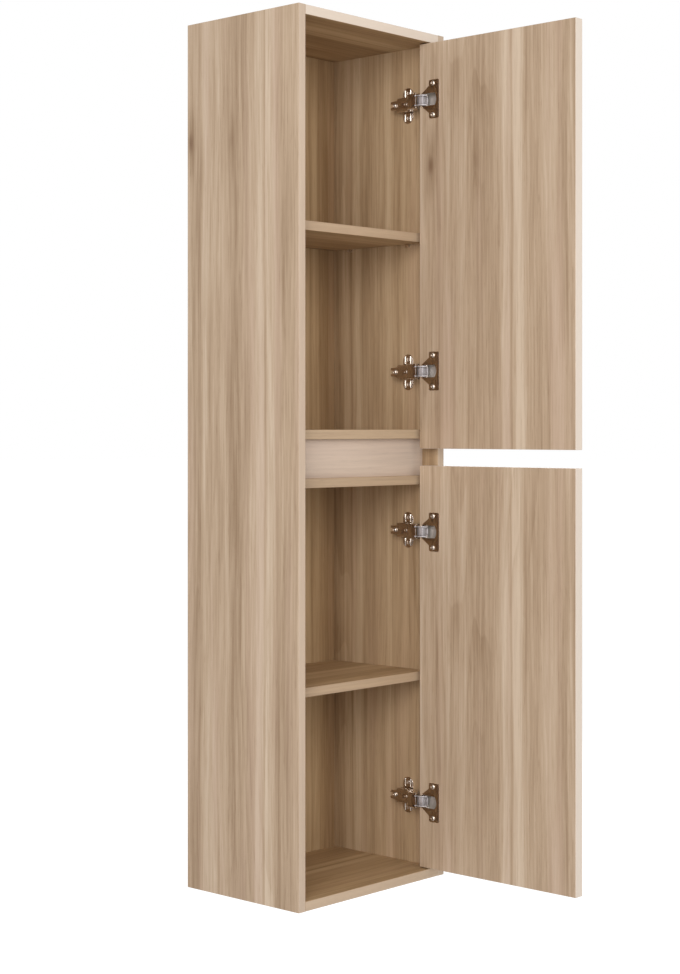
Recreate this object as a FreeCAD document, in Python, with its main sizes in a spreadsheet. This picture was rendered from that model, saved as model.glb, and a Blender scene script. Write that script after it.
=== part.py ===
import FreeCAD, Part
import os
import re
import Sketcher

# Tall wall-hung bathroom cabinet with two inset doors, shown with both doors open at right angles.
# Millimetres. While the sizes are worked out, X runs right from the cabinet's left side, Y runs
# back from its front and Z runs up from its bottom. Every finished piece is then placed so that
# the row's origin is the middle of the wall rail's bolt holes, on the wall.

os.makedirs("parts", exist_ok=True)
document = FreeCAD.newDocument("tall_bathroom_cabinet")
sheet = document.addObject("Spreadsheet::Sheet", "Sizes")

DRIVING_SIZES = {
    # carcase
    "cabinet_width": 350,
    "cabinet_depth": 250,
    "cabinet_height": 1400,
    "side_board": 15,
    "end_board": 15,
    "edge_round": 0.8,
    # back panel, held in grooves ahead of the hollow for the wall fixing
    "back_board": 3,
    "back_hollow": 12,
    "groove_depth": 6,
    "groove_play": 0.2,
    # shelves
    "shelf_board": 15,
    "fixed_board": 15,
    "shelf_setback": 24,
    "shelf_play": 0.5,
    "upper_shelf_height": 1055.5,
    "lower_shelf_height": 325.3,
    "pin_radius": 2.5,
    "pin_depth": 8,
    "pin_reach": 7.5,
    "pin_inset": 40,
    # finger recess between the doors
    "finger_height": 697.5,
    "finger_gap": 28.5,
    "recess_clear": 61.5,
    "recess_setback": 34,
    "recess_board": 15,
    # dowels that join the boards
    "dowel_radius": 4,
    "dowel_length": 30,
    "dowel_depth": 10,
    "dowel_inset": 45,
    "dowel_play": 0.05,
    # doors
    "door_board": 18,
    "door_side_gap": 2,
    "door_end_gap": 2,
    # where the doors turn: back from the door's face and in from its hinged edge
    "pivot_front": 5.5,
    "pivot_edge": 12,
    # hinge places along the doors
    "upper_top_inset": 93.5,
    "upper_bottom_inset": 128.25,
    "lower_top_inset": 109.25,
    "lower_bottom_inset": 110,
    # hinge cup, let into the door
    "cup_radius": 17.4,
    "cup_play": 0.1,
    "cup_edge": 3,
    "cup_depth": 12,
    "cup_wall": 0.9,
    "flange_sheet": 1.2,
    "flange_rim": 1.0,
    "flange_width": 21.5,
    "flange_height": 64,
    "flange_ear": 9.5,
    "flange_nose": 17,
    "flange_corner": 3,
    "flange_back": 22,
    "mouth_width": 20.4,
    "mouth_end": 6.4,
    "cup_screw_spacing": 52,
    "cup_screw_back": 8,
    # hinge arm, links and their pins
    "arm_sheet": 1.5,
    "arm_width": 24.4,
    "arm_rise": 15,
    "arm_skirt": 4.5,
    "arm_shoulder": 54,
    "arm_bend": 36,
    "arm_web_front": 25.5,
    "arm_back": 76,
    "tail_back": 90,
    "tail_width": 14,
    "tail_slot_front": 78,
    "tail_slot_width": 6,
    "ear_reach": 1.95,
    "rivet_radius": 1.25,
    "rivet_play": 0.05,
    "outer_arm_left": 9.91,
    "outer_arm_back": 17.37,
    "outer_cup_left": 5.5,
    "outer_cup_back": 1.5,
    "inner_arm_left": 19.15,
    "inner_arm_back": 16.07,
    "inner_cup_left": 9.96,
    "inner_cup_front": 0.87,
    "link_half": 1.0,
    "link_eye": 1.9,
    "cup_pin_radius": 1.0,
    "cup_pin_gap": 0.4,
    "free_eye_left": 0.86,
    "free_eye_back": 0.83,
    "free_eye_radius": 2.55,
    "free_eye_wall": 0.8,
    "free_eye_mouth": 2.3,
    "free_eye_turn": -38,
    "outer_link_width": 12.8,
    "inner_link_width": 17.6,
    "inner_link_sheet": 1.8,
    "link_slot_play": 0.3,
    # mounting plate on the cabinet's side
    "plate_setback": 64,
    "plate_width": 22,
    "plate_height": 60,
    "plate_sheet": 2,
    "plate_screw_spacing": 42,
    "plate_rim_radius": 7.5,
    "plate_rim_wall": 1.9,
    "plate_rim_rise": 1,
    "spine_front": 50,
    "spine_back": 86,
    "spine_width": 14,
    "spine_wall": 2,
    # screws
    "screw_head_radius": 4.1,
    "screw_head_rise": 1.8,
    "screw_radius": 1.75,
    "screw_length": 13,
    "screw_slot": 0.8,
    "clamp_setback": 81,
    "clamp_head_radius": 3.9,
    "clamp_head_rise": 2.4,
    "clamp_radius": 2,
    "clamp_length": 9,
    "adjuster_setback": 57,
    "adjuster_radius": 2.9,
    "adjuster_length": 5,
    "adjuster_rise": 0.6,
    # wall fixing in the hollow behind the back panel
    "rail_drop": 60,
    "rail_sheet": 2,
    "rail_lip_gap": 4,
    "rail_lip_height": 12,
    "rail_below": 18,
    "rail_above": 12,
    "rail_end_gap": 12,
    "rail_tab": 9,
    "wall_hole_radius": 4,
    "wall_hole_spacing": 240,
    "tab_screw_spacing": 16,
}


def fill_sheet():
    """Write every driving size into the sheet, one row each, under its own alias."""
    for row, (alias, value) in enumerate(DRIVING_SIZES.items(), start=1):
        sheet.set(f"A{row}", alias)
        sheet.set(f"B{row}", str(value))
        sheet.setAlias(f"B{row}", alias)
    document.recompute()


def sized(text):
    """Turn a formula in size names into one that reads them from the sheet."""
    return re.sub(r"\b[a-z][a-z_]+\b(?!\()", lambda word: "Sizes." + word.group(), text)


def bind(thing, path, text):
    thing.setExpression(path, sized(text))


# Derived places and lengths, as formulas in the driving sizes.
SIDE_X = "(cabinet_width - side_board)"
INNER_WIDTH = "(cabinet_width - 2 * side_board)"
INNER_HEIGHT = "(cabinet_height - 2 * end_board)"
BACK_Y = "(cabinet_depth - back_hollow - back_board)"
PIVOT_X = "(cabinet_width - side_board - door_side_gap - pivot_edge)"
DOOR_X = f"({PIVOT_X} + pivot_front - door_board)"
DOOR_EDGE_Y = "(pivot_front + pivot_edge)"
DOOR_WIDTH = f"({INNER_WIDTH} - 2 * door_side_gap)"
DOOR_Y = f"({DOOR_EDGE_Y} - {DOOR_WIDTH})"
UPPER_DOOR_Z = "(finger_height + finger_gap / 2)"
UPPER_DOOR_TOP = "(cabinet_height - end_board - door_end_gap)"
LOWER_DOOR_Z = "(end_board + door_end_gap)"
LOWER_DOOR_TOP = "(finger_height - finger_gap / 2)"
RECESS_Z = "(finger_height - recess_clear / 2)"
RECESS_TOP = "(finger_height + recess_clear / 2)"
FIXED_DEPTH = f"({BACK_Y} - shelf_setback)"
CUP_Y = f"({DOOR_EDGE_Y} - cup_edge - cup_radius)"
RAIL_Z = "(cabinet_height - rail_drop)"
ORIGIN = ("cabinet_width / 2", "cabinet_depth", RAIL_Z)
HINGE_HEIGHTS = {
    "upper_top_hinge": f"({UPPER_DOOR_TOP} - upper_top_inset)",
    "upper_bottom_hinge": f"({UPPER_DOOR_Z} + upper_bottom_inset)",
    "lower_top_hinge": f"({LOWER_DOOR_TOP} - lower_top_inset)",
    "lower_bottom_hinge": f"({LOWER_DOOR_Z} + lower_bottom_inset)",
}
OUTER_ARM_PIN = (f"({PIVOT_X} - outer_arm_left)", "(pivot_front + outer_arm_back)")
INNER_ARM_PIN = (f"({PIVOT_X} - inner_arm_left)", "(pivot_front + inner_arm_back)")
OUTER_CUP_PIN = (f"({PIVOT_X} - outer_cup_left)", "(pivot_front + outer_cup_back)")
INNER_CUP_PIN = (f"({PIVOT_X} - inner_cup_left)", "(pivot_front - inner_cup_front)")
FREE_EYE = (f"({INNER_CUP_PIN[0]} - free_eye_left)", f"({INNER_CUP_PIN[1]} + free_eye_back)")
LONG_EDGE = 100  # more than any board is thick
FIRST_GUESS = 100  # where a sketch's corners start, before its dimensions pull them into place
finished = []


def place(thing, x, y, z):
    """Put a finished piece, given in cabinet places, into the row's frame."""
    for letter, value, origin in zip("xyz", (x, y, z), ORIGIN):
        bind(thing, f"Placement.Base.{letter}", f"{value} - {origin}")
    finished.append(thing)


def shift(thing, x, y, z):
    for letter, value in zip("xyz", (x, y, z)):
        bind(thing, f"Placement.Base.{letter}", value)


AXIS_TURNS = {
    "x": FreeCAD.Rotation(FreeCAD.Vector(0, 1, 0), 90),
    "y": FreeCAD.Rotation(FreeCAD.Vector(1, 0, 0), -90),
    "z": FreeCAD.Rotation(),
}


# ---------------------------------------------------------------- bodies with sketches and features

def new_body(label, x="0", y="0", z="0"):
    body = document.addObject("PartDesign::Body", label)
    body.Label = label
    place(body, x, y, z)
    return body


def origin_plane(body, role):
    return next(one for one in body.Origin.OriginFeatures if one.Role == role)


def polygon(body, name, points, role="XY_Plane"):
    """Closed outline through points given as pairs of formulas, each held by its own dimensions."""
    sketch = body.newObject("Sketcher::SketchObject", f"{body.Label}_{name}")
    sketch.AttachmentSupport = [(origin_plane(body, role), "")]
    sketch.MapMode = "FlatFace"
    count = len(points)
    corners = []
    for number in range(count):
        turn = FreeCAD.Rotation(FreeCAD.Vector(0, 0, 1), 360 * number / count)
        corners.append(turn.multVec(FreeCAD.Vector(FIRST_GUESS, 0, 0)))
    for number in range(count):
        sketch.addGeometry(Part.LineSegment(corners[number], corners[(number + 1) % count]))
    for number in range(count):
        sketch.addConstraint(Sketcher.Constraint("Coincident", number, 2, (number + 1) % count, 1))
    for number, (across, along) in enumerate(points):
        for kind, axis, text in (("DistanceX", -2, across), ("DistanceY", -1, along)):
            if text == "0":
                sketch.addConstraint(Sketcher.Constraint("PointOnObject", number, 1, axis))
                continue
            rank = sketch.addConstraint(Sketcher.Constraint(kind, -1, 1, number, 1, 1.0))
            bind(sketch, f"Constraints[{rank}]", text)
    return sketch


def pad(body, sketch, length, both_ways=False, backwards=False):
    feature = body.newObject("PartDesign::Pad", f"{sketch.Label}_pad")
    feature.Profile = sketch
    feature.Midplane = both_ways
    feature.Reversed = backwards
    bind(feature, "Length", length)
    return feature


def pocket(body, sketch, length):
    """Cut a sketch through a body, equally to both sides of the sketch's plane."""
    feature = body.newObject("PartDesign::Pocket", f"{sketch.Label}_pocket")
    feature.Profile = sketch
    feature.Midplane = True
    bind(feature, "Length", length)
    return feature


def add_box(body, x, y, z, width, depth, height, kind="Additive"):
    feature = body.newObject(f"PartDesign::{kind}Box", f"{body.Label}_{kind}_box")
    for side, text in (("Length", width), ("Width", depth), ("Height", height)):
        bind(feature, side, text)
    shift(feature, x, y, z)
    return feature


def cut_box(body, x, y, z, width, depth, height):
    return add_box(body, x, y, z, width, depth, height, "Subtractive")


def add_round(body, axis, x, y, z, radius, length, kind="Additive"):
    feature = body.newObject(f"PartDesign::{kind}Cylinder", f"{body.Label}_{kind}_round")
    feature.Placement = FreeCAD.Placement(FreeCAD.Vector(), AXIS_TURNS[axis])
    bind(feature, "Radius", radius)
    bind(feature, "Height", length)
    shift(feature, x, y, z)
    return feature


def cut_round(body, axis, x, y, z, radius, length):
    return add_round(body, axis, x, y, z, radius, length, "Subtractive")


def round_edges(body, feature, radius, wanted):
    """Fillet the edges of a feature that the test picks."""
    document.recompute()
    names = [f"Edge{number}" for number, edge in enumerate(feature.Shape.Edges, start=1) if wanted(edge)]
    ease = body.newObject("PartDesign::Fillet", f"{feature.Label}_ease")
    ease.Base = (feature, names)
    bind(ease, "Radius", radius)


def board(label, corner, sides, rounded="front"):
    """A flat board: a sketched rectangle padded to its height, with its showing edges eased."""
    width, depth, height = sides
    body = new_body(label, *corner)
    corners = [("0", "0"), (width, "0"), (width, depth), ("0", depth)]
    blank = pad(body, polygon(body, "outline", corners), height)
    if rounded == "all":
        round_edges(body, blank, "edge_round", lambda edge: True)
    elif rounded == "front":
        round_edges(body, blank, "edge_round",
                    lambda edge: edge.BoundBox.YMax < 0.001 and edge.Length > LONG_EDGE)
    return body


# ---------------------------------------------------------------- primitives and groups

def part_box(name, x, y, z, width, depth, height):
    box = document.addObject("Part::Box", name)
    for side, text in (("Length", width), ("Width", depth), ("Height", height)):
        bind(box, side, text)
    shift(box, x, y, z)
    return box


def part_round(name, axis, x, y, z, radius, length):
    rod = document.addObject("Part::Cylinder", name)
    rod.Placement = FreeCAD.Placement(FreeCAD.Vector(), AXIS_TURNS[axis])
    bind(rod, "Radius", radius)
    bind(rod, "Height", length)
    shift(rod, x, y, z)
    return rod


def fuse(name, pieces):
    union = document.addObject("Part::MultiFuse", name)
    union.Shapes = pieces
    return union


def cut(name, base, tool):
    difference = document.addObject("Part::Cut", name)
    difference.Base = base
    difference.Tool = tool
    return difference


def group(label, pieces):
    """Several separate pieces of one kind, kept together under one name."""
    compound = document.addObject("Part::Compound", label)
    compound.Label = label
    compound.Links = pieces
    place(compound, "0", "0", "0")
    return compound


def screw(name, x, y, z, sizes, outward):
    """Screw along X: its domed head stands on x and faces outward (-1 is left, 1 is right)."""
    head_radius, head_rise, radius, length = sizes
    head_x = f"{x} - {head_rise}" if outward < 0 else x
    shank_x = x if outward < 0 else f"{x} - {length}"
    slot_x = f"{x} - {head_rise} - 1" if outward < 0 else f"{x} + {head_rise} / 2"
    head = part_round(f"{name}_head", "x", head_x, y, z, head_radius, head_rise)
    shank = part_round(f"{name}_shank", "x", shank_x, y, z, radius, length)
    slots = []
    for turn, (along, up) in enumerate((("screw_slot", head_radius), (head_radius, "screw_slot"))):
        slots.append(part_box(f"{name}_slot_{turn}", slot_x, f"{y} - {along} / 2", f"{z} - {up} / 2",
                              f"{head_rise} / 2 + 1", along, up))
    cross = fuse(f"{name}_cross", slots)
    return cut(name, fuse(f"{name}_blank", [head, shank]), cross)


WOOD_SCREW = ("screw_head_radius", "screw_head_rise", "screw_radius", "screw_length")
CLAMP_SCREW = ("clamp_head_radius", "clamp_head_rise", "clamp_radius", "clamp_length")


# ---------------------------------------------------------------- carcase

def joint_heights():
    """Height of the middle of every board that is dowelled between the sides, with its front."""
    return {
        "top_panel": ("(cabinet_height - end_board / 2)", "0"),
        "bottom_panel": ("(end_board / 2)", "0"),
        "upper_fixed_shelf": (f"({RECESS_TOP} + fixed_board / 2)", "shelf_setback"),
        "lower_fixed_shelf": (f"({RECESS_Z} - fixed_board / 2)", "shelf_setback"),
    }


def dowel_setbacks(front):
    return [f"({front} + dowel_inset)", f"({BACK_Y} - dowel_inset)"]


def shelf_pin_setbacks():
    return ["(shelf_setback + pin_inset)", f"({BACK_Y} - pin_inset)"]


def side_panel(label, x, inner_x, into):
    """One side: groove for the back, dowel holes and shelf pin holes in its inner face."""
    panel = board(label, (x, "0", "0"), ("side_board", "cabinet_depth", "cabinet_height"))
    face = f"({inner_x} - {x})"
    groove_x = f"{face} - groove_depth" if into < 0 else face
    cut_box(panel, groove_x, f"{BACK_Y} - groove_play / 2", "end_board - groove_depth",
            "groove_depth", "back_board + groove_play", f"{INNER_HEIGHT} + 2 * groove_depth")
    for height, front in joint_heights().values():
        for setback in dowel_setbacks(front):
            start = f"{face} - dowel_depth" if into < 0 else face
            cut_round(panel, "x", start, setback, height, "dowel_radius + dowel_play", "dowel_depth")
    for shelf in ("upper_shelf_height", "lower_shelf_height"):
        for setback in shelf_pin_setbacks():
            start = f"{face} - pin_depth" if into < 0 else face
            cut_round(panel, "x", start, setback, f"{shelf} - pin_radius", "pin_radius", "pin_depth")
    for rank in (-1, 1):
        start = f"{face} - screw_length + rail_sheet" if into < 0 else face
        cut_round(panel, "x", start, TAB_SCREW_Y, tab_screw_height(rank), "screw_radius",
                  "screw_length - rail_sheet")
    return panel


def tab_screw_height(rank):
    return f"({RAIL_Z} - rail_below / 2 + {rank} * tab_screw_spacing / 2)"


TAB_SCREW_Y = "(cabinet_depth - back_hollow + rail_tab / 2 + 0.5)"


def side_panels():
    side_panel("left_side_panel", "0", "side_board", -1)
    right = side_panel("right_side_panel", SIDE_X, SIDE_X, 1)
    for height in HINGE_HEIGHTS.values():
        for rank in (-1, 1):
            cut_round(right, "x", "0", "plate_setback", f"{height} + {rank} * plate_screw_spacing / 2",
                      "screw_radius", "screw_length - plate_sheet")


def drill_ends(body, height, front):
    """Dowel holes in both ends of a board that sits between the sides."""
    for setback in dowel_setbacks(front):
        for start in ("0", f"{INNER_WIDTH} - dowel_length + dowel_depth"):
            cut_round(body, "x", start, f"{setback} - {front}", height,
                      "dowel_radius + dowel_play", "dowel_length - dowel_depth")


def end_panels():
    for label, z, groove_z in (("top_panel", "(cabinet_height - end_board)", "0"),
                               ("bottom_panel", "0", "end_board - groove_depth")):
        panel = board(label, ("side_board", "0", z), (INNER_WIDTH, "cabinet_depth", "end_board"))
        cut_box(panel, "0", f"{BACK_Y} - groove_play / 2", groove_z,
                INNER_WIDTH, "back_board + groove_play", "groove_depth")
        drill_ends(panel, "end_board / 2", "0")


def back_panel():
    reach = "(groove_depth - groove_play)"
    board("back_panel", (f"side_board - {reach}", BACK_Y, f"end_board - {reach}"),
          (f"{INNER_WIDTH} + 2 * {reach}", "back_board", f"{INNER_HEIGHT} + 2 * {reach}"), "none")


def fixed_shelves():
    for label, z in (("upper_fixed_shelf", RECESS_TOP),
                     ("lower_fixed_shelf", f"({RECESS_Z} - fixed_board)")):
        shelf = board(label, ("side_board", "shelf_setback", z),
                      (INNER_WIDTH, FIXED_DEPTH, "fixed_board"))
        drill_ends(shelf, "fixed_board / 2", "shelf_setback")
    board("finger_recess_panel", ("side_board", "recess_setback", RECESS_Z),
          (INNER_WIDTH, "recess_board", "recess_clear"), "none")


def loose_shelves():
    for label, height in (("upper_shelf", "upper_shelf_height"), ("lower_shelf", "lower_shelf_height")):
        board(label, ("side_board + shelf_play", "shelf_setback", height),
              (f"{INNER_WIDTH} - 2 * shelf_play", f"{FIXED_DEPTH} - shelf_play", "shelf_board"))
        pins = []
        for side, start in (("left", "side_board - pin_depth"), ("right", f"{SIDE_X} - pin_reach")):
            for rank, setback in enumerate(shelf_pin_setbacks()):
                pins.append(part_round(f"{label}_pin_{side}_{rank}", "x", start, setback,
                                       f"{height} - pin_radius", "pin_radius", "pin_depth + pin_reach"))
        group(f"{label}_pins", pins)


def dowels():
    pegs = []
    for label, (height, front) in joint_heights().items():
        for side, start in (("left", "side_board - dowel_depth"),
                            ("right", f"{SIDE_X} + dowel_depth - dowel_length")):
            for rank, setback in enumerate(dowel_setbacks(front)):
                pegs.append(part_round(f"{label}_dowel_{side}_{rank}", "x", start, setback, height,
                                       "dowel_radius", "dowel_length"))
    group("carcase_dowels", pegs)


# ---------------------------------------------------------------- wall fixing

def wall_rail():
    """Pressed steel rail bolted to the wall, whose upturned lip stands clear of the wall."""
    rail = new_body("wall_rail", "side_board + rail_end_gap", "cabinet_depth", RAIL_Z)
    length = f"({INNER_WIDTH} - 2 * rail_end_gap)"
    step_z = "rail_above"
    add_box(rail, "0", "-rail_sheet", "-rail_below", length, "rail_sheet", f"rail_below + {step_z}")
    add_box(rail, "0", "-rail_lip_gap - rail_sheet", f"{step_z} - rail_sheet",
            length, "rail_lip_gap + rail_sheet", "rail_sheet")
    add_box(rail, "0", "-rail_lip_gap - rail_sheet", f"{step_z} - rail_sheet",
            length, "rail_sheet", "rail_sheet + rail_lip_height")
    for rank in (-1, 1):
        cut_round(rail, "y", f"{length} / 2 + {rank} * wall_hole_spacing / 2", "-rail_sheet", "0",
                  "wall_hole_radius", "rail_sheet")


def hanging_rail():
    """Pressed steel rail screwed between the sides, hooked over the wall rail's lip."""
    rail = new_body("hanging_rail", "side_board", "cabinet_depth", RAIL_Z)
    top_z = "(rail_above + rail_lip_height + rail_sheet)"
    lip_y = "(-rail_lip_gap + rail_sheet / 4)"
    face_y = "(-back_hollow)"
    rib_z = "(rail_above + rail_lip_height)"
    add_box(rail, "0", face_y, f"{top_z} - rail_sheet", INNER_WIDTH, f"{lip_y} + rail_sheet - {face_y}",
            "rail_sheet")
    add_box(rail, "rail_end_gap", lip_y, "rail_above", f"{INNER_WIDTH} - 2 * rail_end_gap",
            "rail_sheet", f"{top_z} - rail_above")
    add_box(rail, "0", face_y, f"{rib_z} - rail_lip_height", INNER_WIDTH, "rail_sheet",
            f"{top_z} - {rib_z} + rail_lip_height")
    for start in ("0", f"{INNER_WIDTH} - rail_sheet"):
        add_box(rail, start, face_y, "-rail_below - rail_sheet", "rail_sheet", "rail_tab",
                f"rail_below + rail_sheet + {top_z}")
    for start in ("-1", f"{INNER_WIDTH} - rail_sheet - 1"):
        for rank in (-1, 1):
            cut_round(rail, "x", start, f"{TAB_SCREW_Y} - cabinet_depth",
                      f"{tab_screw_height(rank)} - {RAIL_Z}", "screw_radius + rivet_play",
                      "rail_sheet + 2")
    fixings = []
    for side, x, outward in (("left", "side_board + rail_sheet", 1), ("right", f"{SIDE_X} - rail_sheet", -1)):
        for rank in (-1, 1):
            fixings.append(screw(f"rail_screw_{side}_{rank + 1}", x, TAB_SCREW_Y,
                                 tab_screw_height(rank), WOOD_SCREW, outward))
    group("hanging_rail_screws", fixings)


# ---------------------------------------------------------------- doors

def door(label, z, height, hinges):
    """One door at right angles to the front, with a round recess for each hinge cup."""
    panel = board(label, (DOOR_X, DOOR_Y, z), ("door_board", DOOR_WIDTH, height), "all")
    for hinge in hinges:
        middle = f"{HINGE_HEIGHTS[hinge]} - {z}"
        cut_round(panel, "x", "0", f"{CUP_Y} - {DOOR_Y}", middle, "cup_radius + cup_play",
                  "cup_depth + cup_play")
        for rank in (-1, 1):
            cut_round(panel, "x", "0", f"{CUP_Y} - cup_screw_back - {DOOR_Y}",
                      f"{middle} + {rank} * cup_screw_spacing / 2", "screw_radius",
                      "screw_length - flange_sheet")
    return panel


def doors():
    door("upper_door", UPPER_DOOR_Z, f"({UPPER_DOOR_TOP} - {UPPER_DOOR_Z})",
         ("upper_top_hinge", "upper_bottom_hinge"))
    door("lower_door", LOWER_DOOR_Z, f"({LOWER_DOOR_TOP} - {LOWER_DOOR_Z})",
         ("lower_top_hinge", "lower_bottom_hinge"))


# ---------------------------------------------------------------- hinges

def hinge_cup(hinge, height):
    """Pressed cup in the door, under a flange that narrows from two screw ears to the cup's nose."""
    cup = new_body(f"{hinge}_cup", DOOR_X, CUP_Y, height)
    far = "(-flange_back)"
    near = "(flange_width - flange_back)"
    nose = "(cup_radius + flange_rim)"
    outline = [(nose, "flange_nose / 2"), (near, "(flange_height / 2 - flange_ear)"),
               (near, "flange_height / 2"), (far, "flange_height / 2")]
    outline += [(y, f"-{z}") for y, z in reversed(outline)]
    flange = pad(cup, polygon(cup, "flange", outline, "YZ_Plane"), "flange_sheet", backwards=True)
    tall = value("flange_height / 2") - 0.001
    round_edges(cup, flange, "flange_corner",
                lambda edge: abs(edge.CenterOfMass.z) > tall and edge.BoundBox.YLength < 0.001)
    bowl = "(cup_radius - cup_wall)"
    add_round(cup, "x", "0", "0", "0", "cup_radius", "cup_depth")
    cut_round(cup, "x", "0", "0", "0", bowl, "cup_depth - cup_wall")
    mouth = [(f"sqrt({bowl}^2 - ({width} / 2)^2)", f"{width} / 2") for width in ("mouth_end", "mouth_width")]
    mouth += [(f"-{y}", z) for y, z in reversed(mouth)]
    mouth += [(y, f"-{z}") for y, z in reversed(mouth)]
    pocket(cup, polygon(cup, "mouth", mouth, "YZ_Plane"), "2 * flange_sheet")
    for rank in (-1, 1):
        cut_round(cup, "x", "-flange_sheet", "-cup_screw_back", f"{rank} * cup_screw_spacing / 2",
                  "screw_radius + rivet_play", "flange_sheet")
    for pin in (OUTER_CUP_PIN, INNER_CUP_PIN):
        reach = cup_pin_reach(pin)
        cut_round(cup, "z", f"{pin[0]} - {DOOR_X}", f"{pin[1]} - {CUP_Y}", f"-{reach}",
                  "cup_pin_radius", f"2 * {reach}")


def cup_pin_reach(pin):
    """How far a pin across the cup goes from the cup's middle to be let into the wall."""
    return f"sqrt((cup_radius - cup_wall * 3 / 4)^2 - ({pin[1]} - {CUP_Y})^2)"


def cup_pins(hinge, height):
    """A whole pin for the outer link, and two stubs, clear of that link, for the inner one."""
    reach = cup_pin_reach(OUTER_CUP_PIN)
    pins = [part_round(f"{hinge}_outer_cup_pin", "z", *OUTER_CUP_PIN, f"{height} - {reach}",
                       "cup_pin_radius", f"2 * {reach}")]
    reach = cup_pin_reach(INNER_CUP_PIN)
    start = "(outer_link_width / 2 + cup_pin_gap)"
    for side, low in (("low", f"{height} - {reach}"), ("high", f"{height} + {start}")):
        pins.append(part_round(f"{hinge}_{side}_cup_stub", "z", *INNER_CUP_PIN, low,
                               "cup_pin_radius", f"{reach} - {start}"))
    return pins


def hinge_plate(hinge, height):
    """Cross-shaped plate on the cabinet's side: two screwed wings and the spine under the arm."""
    plate = new_body(f"{hinge}_plate", SIDE_X, "0", height)
    wing = "(plate_width / 2)"
    wing_z = f"(plate_height / 2 - {wing})"
    screw_z = "plate_screw_spacing / 2"
    add_box(plate, "-plate_sheet", f"plate_setback - {wing}", f"-{wing_z}",
            "plate_sheet", "plate_width", f"2 * {wing_z}")
    for rank in (-1, 1):
        add_round(plate, "x", "-plate_sheet", "plate_setback", f"{rank} * {wing_z}", wing, "plate_sheet")
        add_round(plate, "x", "-plate_sheet - plate_rim_rise", "plate_setback", f"{rank} * {screw_z}",
                  "plate_rim_radius", "plate_rim_rise")
    add_box(plate, "-arm_rise", "spine_front", "-spine_width / 2", "arm_rise",
            "spine_back - spine_front", "spine_width")
    cut_box(plate, "-arm_rise + spine_wall", "spine_front + spine_wall", "spine_wall - spine_width / 2",
            "arm_rise - spine_wall", "spine_back - spine_front - 2 * spine_wall",
            "spine_width - 2 * spine_wall")
    for rank in (-1, 1):
        cut_round(plate, "x", "-plate_sheet - plate_rim_rise", "plate_setback", f"{rank} * {screw_z}",
                  "plate_rim_radius - plate_rim_wall", "plate_rim_rise")
        cut_round(plate, "x", "-plate_sheet - plate_rim_rise", "plate_setback", f"{rank} * {screw_z}",
                  "screw_radius + rivet_play", "plate_sheet + plate_rim_rise")
    cut_round(plate, "x", "-arm_rise", "clamp_setback", "0", "clamp_radius + rivet_play", "spine_wall")
    cut_round(plate, "x", "-arm_rise", "adjuster_setback", "0", "adjuster_radius + rivet_play",
              "spine_wall")


def hinge_arm(hinge, height):
    """Cranked channel: its web lies on the plate's spine and its two ears carry the link pins."""
    arm = new_body(f"{hinge}_arm", "0", "0", height)
    web = f"({SIDE_X} - arm_rise - arm_sheet)"
    skirt = f"({SIDE_X} - arm_skirt)"
    nose = f"({INNER_ARM_PIN[0]} - ear_reach)"
    profile = [
        (web, "arm_back"),
        (web, "arm_shoulder"),
        (nose, "arm_bend"),
        (nose, f"{INNER_ARM_PIN[1]} - ear_reach"),
        (OUTER_ARM_PIN[0], f"{OUTER_ARM_PIN[1]} - ear_reach"),
        (f"{OUTER_ARM_PIN[0]} + ear_reach", OUTER_ARM_PIN[1]),
        (skirt, "arm_bend + 10"),
        (skirt, "arm_back"),
    ]
    pad(arm, polygon(arm, "profile", profile), "arm_width", both_ways=True)
    bend_shift = "(0.414 * arm_sheet)"
    hollow = [
        (f"{web} + arm_sheet", "arm_back + 1"),
        (f"{web} + arm_sheet", f"arm_shoulder + {bend_shift}"),
        (f"{nose} + arm_sheet", f"arm_bend + {bend_shift}"),
        (f"{nose} + arm_sheet", "pivot_front"),
        (SIDE_X, "pivot_front"),
        (SIDE_X, "arm_back + 1"),
    ]
    pocket(arm, polygon(arm, "hollow", hollow), "arm_width - 2 * arm_sheet")
    slot = "(inner_link_sheet + 2 * link_slot_play)"
    for rank in (-1, 1):
        middle = f"{rank} * (inner_link_width - inner_link_sheet) / 2"
        cut_box(arm, nose, "pivot_front", f"{middle} - {slot} / 2", "arm_sheet",
                "arm_web_front - pivot_front", slot)
    add_box(arm, web, "arm_back", "-tail_width / 2", "arm_sheet", "tail_back - arm_back", "tail_width")
    cut_box(arm, web, "tail_slot_front", "-tail_slot_width / 2", "arm_sheet",
            "tail_back - tail_slot_front", "tail_slot_width")
    cut_round(arm, "x", web, "adjuster_setback", "0", "adjuster_radius + rivet_play", "arm_sheet")
    for x, y in (OUTER_ARM_PIN, INNER_ARM_PIN):
        cut_round(arm, "z", x, y, "-arm_width / 2", "rivet_radius", "arm_width")


def value(text):
    """The present number behind a formula in size names."""
    probe = document.addObject("App::FeaturePython", "probe")
    probe.addProperty("App::PropertyFloat", "Number")
    bind(probe, "Number", text)
    probe.recompute()
    number = probe.Number
    document.removeObject(probe.Name)
    return number


def strap(stops, half, low, thickness):
    """Flat strap that follows the stops, rounded at its ends and bends, lying across Z."""
    points = [FreeCAD.Vector(x, y, low) for x, y in stops]
    rise = FreeCAD.Vector(0, 0, thickness)
    pieces = [Part.makeCylinder(half, thickness, point) for point in points]
    for start, end in zip(points, points[1:]):
        along = (end - start).normalize()
        across = FreeCAD.Vector(-along.y, along.x, 0) * half
        ring = [start + across, end + across, end - across, start - across, start + across]
        pieces.append(Part.Face(Part.makePolygon(ring)).extrude(rise))
    return pieces[0].fuse(pieces[1:]).removeSplitter()


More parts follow.
